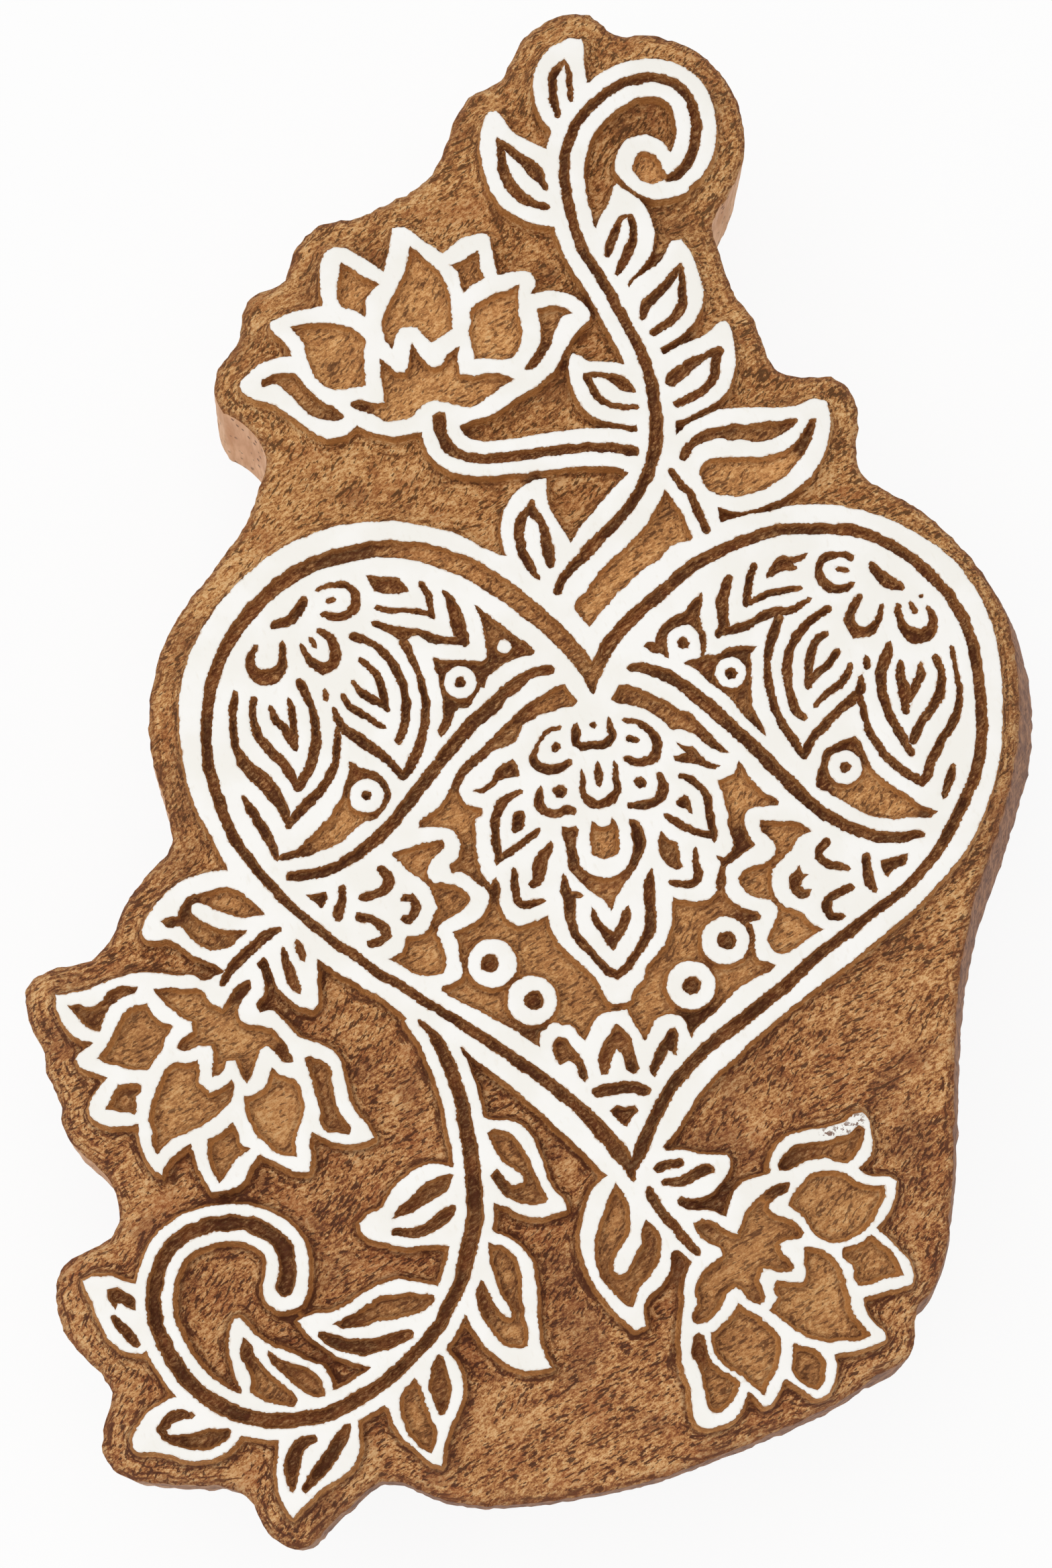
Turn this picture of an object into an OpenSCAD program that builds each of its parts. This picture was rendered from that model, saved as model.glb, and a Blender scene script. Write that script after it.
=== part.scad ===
// Hand-carved wooden textile printing block: a heart with lotus flowers and leafy vine scrolls.
// The block lies on its grip with the printing face up. Lengths are millimetres.

/* [Board] */
// Width of the carved face from the left lotus to the right side of the heart
face_width = 140.5; // [100:0.5:180]
// Thickness of the board from its back to the carved ground
board_thickness = 25; // [18:0.5:40]
// Height of the printing face above the carved ground
relief_height = 5; // [3:0.25:8]
// Depth of the cut lines and pockets below the printing face
cut_depth = 3.5; // [1.5:0.25:7]

/* [Coat] */
// Thickness of the white coat on the printing face
coat_thickness = 0.2; // [0.1:0.05:0.5]

/* [Grip] */
// Length of the wooden grip on the back
grip_length = 132; // [120:1:150]
// Width of the grip
grip_width = 40; // [30:1:60]
// Height of the grip under the board
grip_height = 28; // [24:1:45]
// Width of the chamfer round the lower edge of the grip
grip_chamfer = 4; // [1:0.5:7]

/* [Fastenings] */
// Distance between the two screws
screw_spacing = 60; // [40:1:64]
// Diameter of the screw thread
screw_diameter = 5; // [3:0.5:7]
// Diameter of the screw head
screw_head_diameter = 9.5; // [8:0.5:11]
// Height of the screw head
screw_head_height = 3.5; // [2:0.5:5]
// Length of thread that bites into the board
screw_grip = 15; // [8:0.5:17]
// Pitch of the screw thread
screw_pitch = 2.5; // [1.5:0.25:4]
// Diameter of the wooden plugs that hide the screw heads
plug_diameter = 14; // [12:0.5:18]
// Length of the wooden plugs
plug_length = 7; // [4:0.5:12]
// Distance from each end of the grip to the middle of its dowel
dowel_inset = 17; // [14:0.5:19]
// Diameter of the dowels
dowel_diameter = 8; // [5:0.5:10]
// Depth of each dowel in the grip, and in the board
dowel_depth = 12; // [6:0.5:16]
// Clearance round the screws, plugs and dowels
fit_clearance = 0.1; // [0.05:0.05:0.25]

/* [Hidden] */

// Longest straight step along a curve of the drawing
longest_step = 3;
// A stroke narrower than this ends in a point, and a wider one in a round tip
pointed_width = 0.9;
// Overshoot of a cut past the face that it opens
over = 1;
// Angle to each side of a round tip's middle where it has one more point
tip_turn = 50;
// Flat sides of a drilled dot, of the grip's round ends and of a turned piece
dot_sides = 24;
grip_sides = 32;
turned_sides = 48;

// The drawing is in millimetres at drawn size, with X to the right and Y up.
// A loop holds [x, y] points, joined by a smooth curve, and a third value marks a corner.
// A stroke holds [x, y, width] points. A stem holds [x, y, width, groove width] points.

// Edge of the board at the carved ground
outline = [
    [8.2, 117.3], [10.5, 116.3], [12.4, 114.5], [14.9, 113.8], [18.9, 114], [24.1, 112.2], [26.7, 110.3],
    [29.2, 107.2], [30.7, 104.6], [31.6, 101.7], [32.1, 97.7], [31.7, 94.4], [30.8, 91.8], [28.9, 88.4],
    [27.5, 86], [27.2, 84.2], [27.6, 82.4], [28.6, 79], [29.5, 76.2], [30.4, 73.9], [33, 70.5],
    [33.9, 68.1], [34.6, 65.9], [35.6, 63.6], [37.2, 62.2], [40, 61.6], [43.6, 61.7], [45.6, 61],
    [47.1, 59.5], [48, 57], [48.1, 54], [47.7, 50.5], [48, 48], [49.4, 46.2], [52.3, 44.4], [55.4, 42.7],
    [58.5, 40.3], [61.4, 37.5], [64, 34.6], [66, 31.7], [67.9, 28.4], [69.2, 25], [69.9, 21.5], [70.3, 18],
    [70.5, 14.4], [70.4, 11], [70.1, 7.4], [69.4, 3.8], [68.5, 0], [67.5, -3.5], [66.4, -6.8], [65.3, -10],
    [64.1, -13.2], [63.1, -16.4], [62.2, -20], [61.5, -23.8], [60.9, -27.5], [60.5, -31], [60, -40],
    [59.8, -47], [59.6, -52.5], [59.2, -58], [58.6, -63], [57.6, -67], [56.2, -70], [54.4, -72.2],
    [53.8, -74.5], [53.8, -77], [53.1, -79], [51.2, -80.4], [48.5, -81.7], [46.3, -83.4], [43.4, -85.2],
    [38.6, -87.6], [33.7, -89.8], [28.8, -91.8], [24, -93.7], [19.1, -95.5], [14.3, -96.8], [9.5, -97.8],
    [4.8, -98.6], [0, -99.2], [-6, -99.5], [-10.7, -98.8], [-14.2, -97.5], [-16.8, -96.4], [-19.5, -96.2],
    [-21.6, -97.3], [-24, -99.6], [-26.4, -101.6], [-28.1, -103.6], [-29.8, -104.9], [-31.8, -105.2],
    [-34, -104.2], [-35.5, -102.8], [-36.5, -100.7], [-37.6, -98.9], [-39.6, -97.5], [-42, -96.9],
    [-46, -96.8], [-50.2, -96.5], [-54, -96], [-56.4, -94.6], [-57.8, -92.4], [-57.9, -90], [-57.4, -87.5],
    [-56.8, -85.2], [-57, -83.6], [-58.5, -81.5], [-60.9, -79.3], [-63.3, -76.4], [-64.5, -73],
    [-64.7, -69.6], [-63.8, -67.1], [-61.4, -65.4], [-59, -64.2], [-57, -62.7], [-56.3, -60.3],
    [-56.6, -57.5], [-58, -54.9], [-60.4, -52.5], [-62.8, -50.2], [-64.2, -48], [-64.6, -45.2],
    [-65.6, -42.5], [-66.8, -40.2], [-67.2, -37.5], [-68.4, -35], [-69.4, -32.8], [-70, -30.2],
    [-70, -28.4], [-68.4, -26.6], [-65.8, -25.5], [-61.8, -24.7], [-59.2, -22.7], [-57.8, -20.6],
    [-56.8, -17.5], [-55, -14.4], [-52.5, -11.3], [-50.6, -9.2], [-49.9, -7], [-50.4, -4.2], [-51.2, -1.1],
    [-52.2, 2], [-53, 5.1], [-53.4, 8.2], [-53.5, 11.4], [-53.2, 14.8], [-52.5, 18.4], [-51.4, 21.5],
    [-49.9, 24.5], [-48.1, 27.6], [-45.8, 30.8], [-43.2, 34.4], [-41, 37.7], [-39.4, 41], [-38.2, 44.6],
    [-37.4, 47.2], [-37.4, 49.4], [-38.2, 51.2], [-39.6, 53], [-41.5, 54.4], [-43.6, 55.8], [-44.7, 58],
    [-44.9, 60.3], [-44, 62.8], [-42.6, 64.5], [-41.4, 66.6], [-40.9, 69], [-40.5, 71.7], [-39.2, 73.2],
    [-37, 74.2], [-35.2, 75.2], [-34.2, 77.2], [-33.6, 79.7], [-32.3, 81.8], [-30.8, 83.4], [-28.6, 84.3],
    [-25.5, 84.8], [-23.2, 85.5], [-21.2, 86.8], [-18.8, 88.1], [-16, 89.6], [-14, 91.6], [-12.6, 93.8],
    [-11.5, 96.8], [-10.5, 100], [-9.4, 102.4], [-7.8, 104.5], [-5.6, 105.6], [-3.6, 107], [-2.2, 109.6],
    [-0.6, 112.8], [1.5, 115], [4, 116.5], [6.2, 117.2]];

// Stems: the upper vine from its curl down to the heart, the lotus stem, and the lower vine to its curl
upper_vine = [
    [20.5, 90, 4.6, 1], [21.9, 90.6, 5.2, 1.4], [23.2, 92.1, 5.8, 1.4], [24.2, 94.3, 6, 1.4],
    [24.7, 97, 6, 1.4], [24.5, 99.8, 6, 1.4], [23.6, 102.5, 6, 1.4], [22, 104.3, 6, 1.4],
    [19.8, 105.3, 6, 1.4], [17.3, 105.5, 6, 1.4], [14.5, 104.8, 6, 1.4], [11.7, 103.1, 6, 1.4],
    [9.2, 100.8, 6, 1.4], [7.3, 98.4, 6, 1.4], [6.1, 95.4, 6, 1.4], [5.5, 92.2, 5.9, 1.4],
    [5.6, 89, 5.9, 1.4], [6.2, 85.5, 5.8, 1.4], [7.1, 81.8, 5.8, 1.4], [8.4, 78.5, 5.8, 1.4],
    [10.1, 75.8, 5.8, 1.4], [12, 72.5, 5.8, 1.4], [13.8, 69, 5.8, 1.4], [15.6, 65.5, 5.8, 1.4],
    [17, 62.3, 5.8, 1.5], [17.9, 59, 5.8, 1.6], [18.4, 55.5, 5.8, 1.7], [18.6, 52, 5.8, 1.8],
    [18.2, 48.5, 6.2, 1.8], [17, 44.7, 6.8, 1.6], [15.8, 42.5, 7.1, 1.5], [14.4, 40.3, 7.2, 1.5],
    [12.9, 38.6, 7.2, 1.5], [10.9, 36.4, 7.2, 1.6], [9.2, 34.7, 7.2, 1.7], [7.8, 33, 7, 1.5],
    [6.3, 31.5, 6.6, 1.4], [5.1, 29.8, 6.2, 1.2], [4.3, 28.2, 6, 1.1]];
lotus_stem = [
    [-12.5, 53.6, 5, 1.7], [-12.3, 51.6, 5.6, 1.7], [-11.5, 49.7, 6, 1.7], [-9.8, 48.3, 5.8, 1.5],
    [-7, 47.6, 5.4, 1.3], [-3, 47.8, 5.4, 1.3], [1, 48.4, 5.5, 1.4], [5, 49, 5.7, 1.3], [9, 49.4, 5.8, 1.2],
    [12.5, 49.3, 5.8, 1.4], [15.4, 48.8, 6, 1.3]];
lower_vine = [
    [-14.9, -33.3, 4, 0.4], [-13.8, -34.5, 4.4, 0.9], [-12.7, -35.7, 4.8, 1.4], [-11.9, -37.3, 5, 1.7],
    [-10.9, -39.3, 5.2, 1.8], [-10, -41.7, 5.3, 1.8], [-9, -44.8, 5.3, 1.8], [-8.5, -47.9, 5.3, 1.9],
    [-7.9, -50.6, 5.3, 2], [-7.5, -53.7, 5.3, 2.1], [-7.2, -57.5, 5.3, 2.2], [-7.1, -60.6, 5.3, 2.3],
    [-7.7, -63.7, 5.3, 2.2], [-8.3, -66.3, 5.3, 2.1], [-9.2, -69.8, 5.3, 1.9], [-10.6, -72.5, 5.3, 1.8],
    [-12.1, -75.6, 5.3, 1.7], [-14, -77.9, 5.3, 1.7], [-16.3, -80.2, 5.3, 1.7], [-19.2, -82.9, 5.3, 1.8],
    [-21.8, -84.6, 5.3, 1.8], [-24.3, -86.1, 5.3, 1.9], [-27.2, -87.4, 5.3, 2], [-30.4, -88, 5.3, 2],
    [-33.6, -88.3, 5.3, 2], [-36.8, -88, 5.3, 2], [-39.7, -87.2, 5.3, 2], [-42.2, -86, 5.3, 2],
    [-44.5, -84.5, 5.3, 2], [-46.7, -82.3, 5.3, 2], [-48.3, -80, 5.3, 2], [-49.9, -77.1, 5.3, 2],
    [-50.7, -74.9, 5.3, 2], [-51, -72.3, 5.3, 2], [-50.9, -69.8, 5.3, 2], [-50.2, -67.2, 5.3, 2],
    [-48.9, -64.8, 5.3, 2], [-46.7, -63, 5.3, 2], [-44.1, -61.9, 5.3, 2], [-41.6, -61.5, 5.3, 2],
    [-38.7, -61.5, 5.3, 2], [-36.4, -62.3, 5.4, 2.1], [-34.5, -63.4, 5.6, 2.2], [-33.2, -65, 5.8, 2.3],
    [-32.8, -67.2, 6, 2.3], [-32.9, -69.2, 6.2, 2.3], [-33.1, -70.4, 6.4, 2.2]];
stems = [upper_vine, lotus_stem, lower_vine];

// Raised hook inside the curl of the upper vine
curl_hook = [
    [22.5, 88.9, 2.6], [18.9, 87.9, 2.4], [15.7, 89.2, 2.2], [14.05, 91.7, 2.7], [15, 94.5, 2.8],
    [16.9, 95.4, 2.6], [19, 94.7, 2.6], [20.4, 92.9, 2.2], [20.8, 91.6, 1.6]];

// Raised leaves of the upper vine
upper_leaves = [
    [[8.9, 105], [8.5, 107.5], [8.4, 110.5], [8, 111.5], [6, 111.4], [3.5, 110], [1.6, 107.7], [0.8, 104.5],
        [1.2, 101.5], [2.1, 99], [3.8, 96.8], [5.5, 97.5], [8, 101]],
    [[3.2, 94.2], [0.8, 95.4], [-1.6, 96.7], [-3.2, 98.7], [-4.3, 100.3], [-5.7, 99.9], [-6.7, 97.4],
        [-6.9, 94.8], [-6.4, 91.2], [-5.3, 88], [-3.4, 85.2], [-0.9, 83.6], [3.8, 82.5], [6, 85],
        [5.4, 92]],
    [[10, 82.5], [11.5, 85.5], [12.5, 88.6], [13.1, 89.2, 1], [14.8, 88], [16.6, 86.6], [17.9, 84.4],
        [18.6, 81.5], [18.3, 79], [17.2, 77], [15.5, 75], [14.4, 73.4], [11.5, 76]],
    [[14.6, 73.3], [17, 75.7], [19, 77.2], [20.1, 79], [20.9, 80.5], [22.4, 80.8], [23.7, 79], [25, 75.5],
        [25.6, 72.5], [25.1, 69.6], [23.4, 67.2], [20.7, 65], [18.8, 64], [15, 68]],
    [[19.2, 63], [21.5, 64.5], [24, 65.6], [26.2, 66.8], [27.5, 68.1], [28.6, 68.5], [29.3, 68], [30, 64.5],
        [30.1, 61.5], [29.4, 58.8], [27.5, 56.3], [24.5, 54.7], [21.5, 53.4], [18.5, 57]],
    [[21.7, 51.7], [23.3, 53.2], [25.3, 54.2], [27.7, 55.2], [30, 55.5], [36, 55.6], [38.3, 55.8],
        [40, 56.5], [41.3, 57], [42.5, 56.8], [43.3, 56.3], [43.7, 53.8], [43, 49.3], [40.7, 45.3],
        [37, 42.2], [32.7, 40.3], [30, 39.8], [27.3, 40.6, 1], [27.9, 38.2, 1], [25, 36], [22, 37],
        [19, 46]],
    [[6.5, 63.5], [7.8, 63.2], [8.7, 62.4], [11, 62.3], [13.8, 62], [17, 60], [18, 55], [15.5, 52.6, 1],
        [13.3, 52.8], [10.7, 53.4], [8.7, 54.5], [7.2, 56.5], [6.3, 58.8], [6, 61], [6.1, 62.8]],
    [[2.8, 44.8, 1], [0.5, 44.3], [-1.6, 42.7], [-3.3, 40], [-3.8, 36.9], [-3.5, 35.1], [-3.2, 33.5, 1],
        [-1, 30], [4, 26], [7, 27], [8, 32], [6.3, 35.4, 1], [5.6, 36.6], [4.6, 38.3], [3.4, 40.3],
        [3, 42]]];

// Raised flowers: the upper, left and right lotus, the last with the leaf under the tip of the heart
lotus_flowers = [
    [[-41.2, 58.3], [-40.3, 59.8], [-38.2, 61.6], [-35.8, 62.4], [-33.8, 62.8, 1], [-35, 64.9],
        [-36.9, 66.6], [-36.9, 67.8, 1], [-34, 69.3], [-29.5, 70.2, 1], [-29.9, 73.5], [-29.9, 76.5],
        [-28.8, 78.7], [-26.8, 79.2], [-24, 77.8], [-20.7, 75.6, 1], [-20, 79], [-19.6, 82.2, 1],
        [-17.8, 82.3], [-15, 80.4], [-12.2, 78.3, 1], [-9.7, 80.5], [-6.8, 81.4], [-5.5, 81], [-4.8, 78],
        [-4.2, 75.2, 1], [-1.5, 75.8], [0.7, 75.6], [1.4, 74], [0.7, 72.4, 1], [3.3, 72.9], [6.5, 72.2],
        [8.8, 70.3], [9.1, 68.4, 1], [7, 66.2], [5.5, 63.7], [4.3, 61.2], [1.5, 58.4], [-1.5, 56.6],
        [-4.5, 54.3], [-8, 53.1], [-11, 52], [-15.7, 51.3], [-19.3, 50.7], [-22, 51.3], [-24.3, 52.2, 1],
        [-26, 50.9], [-28.3, 50.4], [-30.5, 51.2], [-33.3, 53.3], [-36, 55.2], [-39, 56.1], [-40.8, 57.2]],
    [[-65.5, -29.9, 1], [-61.5, -29.3], [-59, -28.2], [-55.5, -27], [-52.5, -26.7], [-49, -27],
        [-46.5, -27.1], [-44.6, -27.8, 1], [-41, -26], [-38, -24.5], [-36.9, -26.5], [-36.4, -28.2],
        [-36.5, -29.6], [-37.4, -31.3], [-36.9, -32.2], [-35.2, -32], [-33.9, -33.2], [-32.4, -34.8],
        [-31, -35.9], [-29.2, -36.4], [-27, -37.4], [-25.8, -38.9], [-25.2, -41.3], [-24.5, -44],
        [-23.5, -46.2], [-22, -47.9], [-21, -49.8, 1], [-23, -50.5], [-25.3, -50.7], [-27.8, -49.9],
        [-29.7, -49, 1], [-29.9, -50.5], [-29.6, -52.5], [-29.9, -54.5, 1], [-32, -54.4], [-34.6, -53.2],
        [-36.8, -52.1, 1], [-38, -53.8], [-38.6, -55.4], [-39.6, -56.4], [-41.6, -57.1], [-43.4, -57.3],
        [-44.4, -55.6], [-45.5, -53.6], [-46.3, -50.6, 1], [-48.4, -52.2], [-49.7, -53.6], [-50.2, -55, 1],
        [-51.6, -54], [-52.8, -52], [-53.5, -49.8], [-53.6, -47.9, 1], [-55, -48.3], [-57.3, -48.3],
        [-59.3, -47.7], [-60.5, -46.3], [-60.3, -44.8], [-59.6, -43.4], [-58, -41.4, 1], [-60.2, -40.8],
        [-61.8, -40], [-62.5, -38.9], [-61.9, -38], [-60.1, -36.7, 1], [-62.4, -36], [-64, -34.5],
        [-65.2, -32.2]],
    [[33.6, -54.4, 1], [33.5, -53], [34, -51.5], [35.3, -49.8], [37, -48.9], [39.5, -48.3], [42, -47.9],
        [44.2, -47.1], [45.5, -46.1], [46.6, -45.9], [47.4, -46.8], [47.8, -49], [47.9, -50.8],
        [47.4, -52.3], [45.9, -53.8, 1], [47.5, -54.7], [50, -54.9], [51.2, -55.6], [51, -57.5],
        [50.2, -59.6], [48.3, -62, 1], [49.5, -63.1], [51, -64.5], [52.5, -66.2], [53.3, -68.2],
        [53, -69.8, 1], [50.8, -70.4], [48.8, -70.9], [46.2, -71.6, 1], [46.6, -73.2], [47.8, -75],
        [49.3, -76.5], [49.3, -77.4, 1], [47, -78.3], [44.7, -78.9], [42.2, -79.2, 1], [42.5, -81.2],
        [42, -83.3], [40.9, -84.9], [39.6, -85.3], [37.8, -84.1], [35.3, -82.7, 1], [34.4, -84.6],
        [33.4, -86.1], [32.4, -86.4], [30.3, -84.3, 1], [29.6, -86.3], [28.5, -87.9], [26.5, -88.9],
        [24, -89.3], [22.8, -88], [22.4, -86], [22.2, -83.6], [21.3, -81.2], [21, -78], [21.1, -75],
        [21.5, -72.2], [21.5, -69.8], [21.9, -68], [22.7, -66.7, 1], [20.6, -65, 1], [19.9, -65.6],
        [19.7, -68.2], [18.4, -70], [16.7, -71.6], [16.1, -73.2], [16.4, -75.5, 1], [14.9, -76.1],
        [12.9, -74.5], [10.6, -71.8], [8.8, -69.2], [7.6, -66], [7.2, -63.3], [7.6, -61], [8.3, -58.3],
        [9.4, -56.2], [11, -54.8, 1], [13, -52], [16.5, -49], [19.3, -51.3, 1], [20.8, -51.1],
        [24.6, -51.8], [27.7, -51.9], [28.2, -53], [27.7, -54.8], [26.3, -56.5], [24.9, -57.6],
        [22.9, -58.1], [21.3, -57.7], [20.8, -58.3], [21.1, -58.9], [22.9, -59.5], [25.3, -59.5],
        [27.4, -60.4, 1], [27.9, -58.9], [28.5, -57], [29.8, -55.7], [31.5, -54.9]]];

// Raised heart, with the leaf and the bud on its left side
heart = [
    [-3.2, 33.3, 1], [-5.7, 34.3], [-10.7, 36.8], [-17.3, 38.2], [-20.7, 38.3], [-27.3, 37.5],
    [-33.3, 35.2], [-38.3, 31.8], [-42.7, 27.3], [-46.2, 22], [-48.3, 16.7], [-49.1, 11.3], [-48.7, 5.3],
    [-47.5, -0.7], [-46.1, -4.3], [-44.5, -7.1], [-42, -12], [-39, -16], [-34, -20.5], [-29.1, -24.9],
    [-24.6, -27.8], [-19.9, -30.5], [-17.5, -32.5], [-13, -36], [-9, -37.1], [-7.5, -38.7], [-5, -40.4],
    [-2.7, -42.2], [-0.3, -44.2], [2.1, -46.3], [4.4, -48.5], [7.3, -51.2], [11, -54.8], [14.5, -57],
    [17, -53], [19.3, -50.4], [21.1, -48.2], [23, -45], [24.8, -42.5], [26.8, -40.4], [28.9, -38.6],
    [31.2, -36.3], [36, -32.2], [40, -29], [44.4, -25.7], [48.3, -22.5], [53.4, -18.3], [56, -15.8],
    [60.1, -11.2], [62.5, -8], [64.8, -3], [66.5, 2], [67.3, 7.3], [67.5, 13.3], [67.1, 19.7], [65.7, 25.3],
    [63.3, 30], [60, 34], [55.3, 37.3], [50.3, 39.7], [44.7, 41], [39, 41.2], [34.7, 40.2], [30, 39.2],
    [26, 37.8], [20, 36], [14, 33], [8, 31], [2, 31.5]];
heart_leaf = [
    [-42.1, -12.1, 1], [-45.1, -12.7], [-47.7, -13.5], [-49.6, -14.8], [-51.2, -16.3], [-52.5, -18.2],
    [-53.4, -19.8], [-53.6, -21.4], [-52.8, -22.3], [-49.9, -22.3], [-48.3, -23], [-46.7, -24.3],
    [-44.8, -25.1], [-43, -26, 1], [-40.5, -27.5], [-37, -25], [-33, -19]];
heart_bud = [
    [-36.2, -25.1, 1], [-35.5, -26.8], [-34.7, -28.8], [-33.2, -30.4], [-31.3, -31.6], [-29.7, -32],
    [-28.9, -31], [-29, -28], [-29.1, -24.9, 1], [-28, -22], [-33, -18], [-38, -22]];

// Raised leaves of the lower vine
lower_leaves = [
    [[-52.5, -69.9], [-55, -69.4], [-57, -68.7], [-59.2, -68.7], [-60.8, -69.3, 1], [-60.3, -70.8],
        [-59.5, -72.3], [-58.7, -74.3], [-57.6, -76.5], [-56.3, -78.1], [-54.7, -79.1], [-52.4, -79.4],
        [-50, -76], [-51, -72]],
    [[-48.1, -85, 1], [-51.2, -86.8], [-52.5, -88.4], [-53.4, -90], [-53.6, -91.6], [-52.9, -92.5],
        [-51.2, -92.5], [-49.3, -92.7], [-46.7, -93.5], [-44.1, -93.8], [-41.9, -93.2], [-40.3, -92.2],
        [-39.2, -91], [-38, -89], [-43, -86.5]],
    [[-34, -90], [-33.8, -92.5], [-34, -95.1], [-33.6, -98], [-32.8, -99.9], [-31.6, -101.5, 1],
        [-29.7, -99.3], [-27.5, -97.3], [-24.9, -95.7], [-23.6, -94.5], [-22.7, -92.2], [-22.7, -90],
        [-22.9, -88.2], [-24, -86.5], [-29, -88]],
    [[-19.6, -86, 1], [-18.7, -87], [-18.2, -88.7], [-17, -90.5], [-15, -92.3], [-13, -94],
        [-11.5, -94.5, 1], [-11.2, -92], [-10.2, -88.7], [-8.8, -85.6], [-8.6, -83], [-9.4, -80.6],
        [-10.8, -78.7], [-10.6, -77.3], [-14, -78], [-18, -82]],
    [[-40, -74.4, 1], [-40.6, -75.9], [-40.8, -77.8], [-40.4, -80], [-39.8, -82.3], [-39, -84], [-39, -86],
        [-33, -87], [-27, -86], [-26.3, -83.9, 1], [-26.8, -82.3], [-28.1, -80.7], [-30.4, -79.9],
        [-32.6, -78.8], [-34.8, -78.1], [-36.8, -76.8], [-38.4, -75.2], [-39.2, -74.3]],
    [[-31.4, -74.8], [-29.4, -73.8], [-26.8, -73.5], [-24.9, -72.7], [-22.7, -71.1], [-20.1, -69.8],
        [-17.5, -69.1], [-15, -69.4], [-11.9, -70], [-9, -71], [-12, -76.5], [-17, -81], [-20.5, -81.3, 1],
        [-23, -80.7], [-25.2, -80], [-27.2, -78.8], [-28.8, -77.5], [-30.4, -76.2]],
    [[-23.1, -61.4], [-21.7, -60.2], [-20.2, -59.4], [-19.2, -57.8], [-17.9, -56], [-16.3, -54.6],
        [-14.4, -53.5], [-12.5, -53.2], [-10.2, -53.6], [-7.5, -56], [-7.5, -62], [-10.3, -64.7, 1],
        [-13.3, -64.5], [-16.3, -64.8], [-19.4, -64.2], [-21.7, -63.7], [-22.9, -62.5]],
    [[-6.3, -46.3], [-5.2, -47.1], [-2.5, -47.1], [-0.6, -47.9], [1, -49.8], [2.1, -52.5], [3.3, -56],
        [5.2, -58.3], [5.6, -59.6, 1], [2.5, -60.6], [-0.2, -60.6], [-2.5, -59.4], [-4.5, -58.7], [-7, -58],
        [-8.5, -50]],
    [[-5.2, -62.2], [-3.3, -62.9], [-1, -64.4], [0.6, -66.3], [1.3, -69], [1.5, -72.5], [1.7, -76],
        [2.5, -79.4], [3.5, -81.2, 1], [0.6, -81.7], [-2.5, -80.8], [-5.2, -78.7], [-7.1, -76.3],
        [-8.3, -74.2, 1], [-9.5, -71], [-7.5, -65]]];

raised_loops = concat(upper_leaves, lotus_flowers, [heart, heart_leaf, heart_bud], lower_leaves);

// One cut is made of strokes and loops that run into each other, round islands [x, y, radius] left standing
function cut(strokes = [], loops = [], islands = []) = [strokes, loops, islands];

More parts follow.
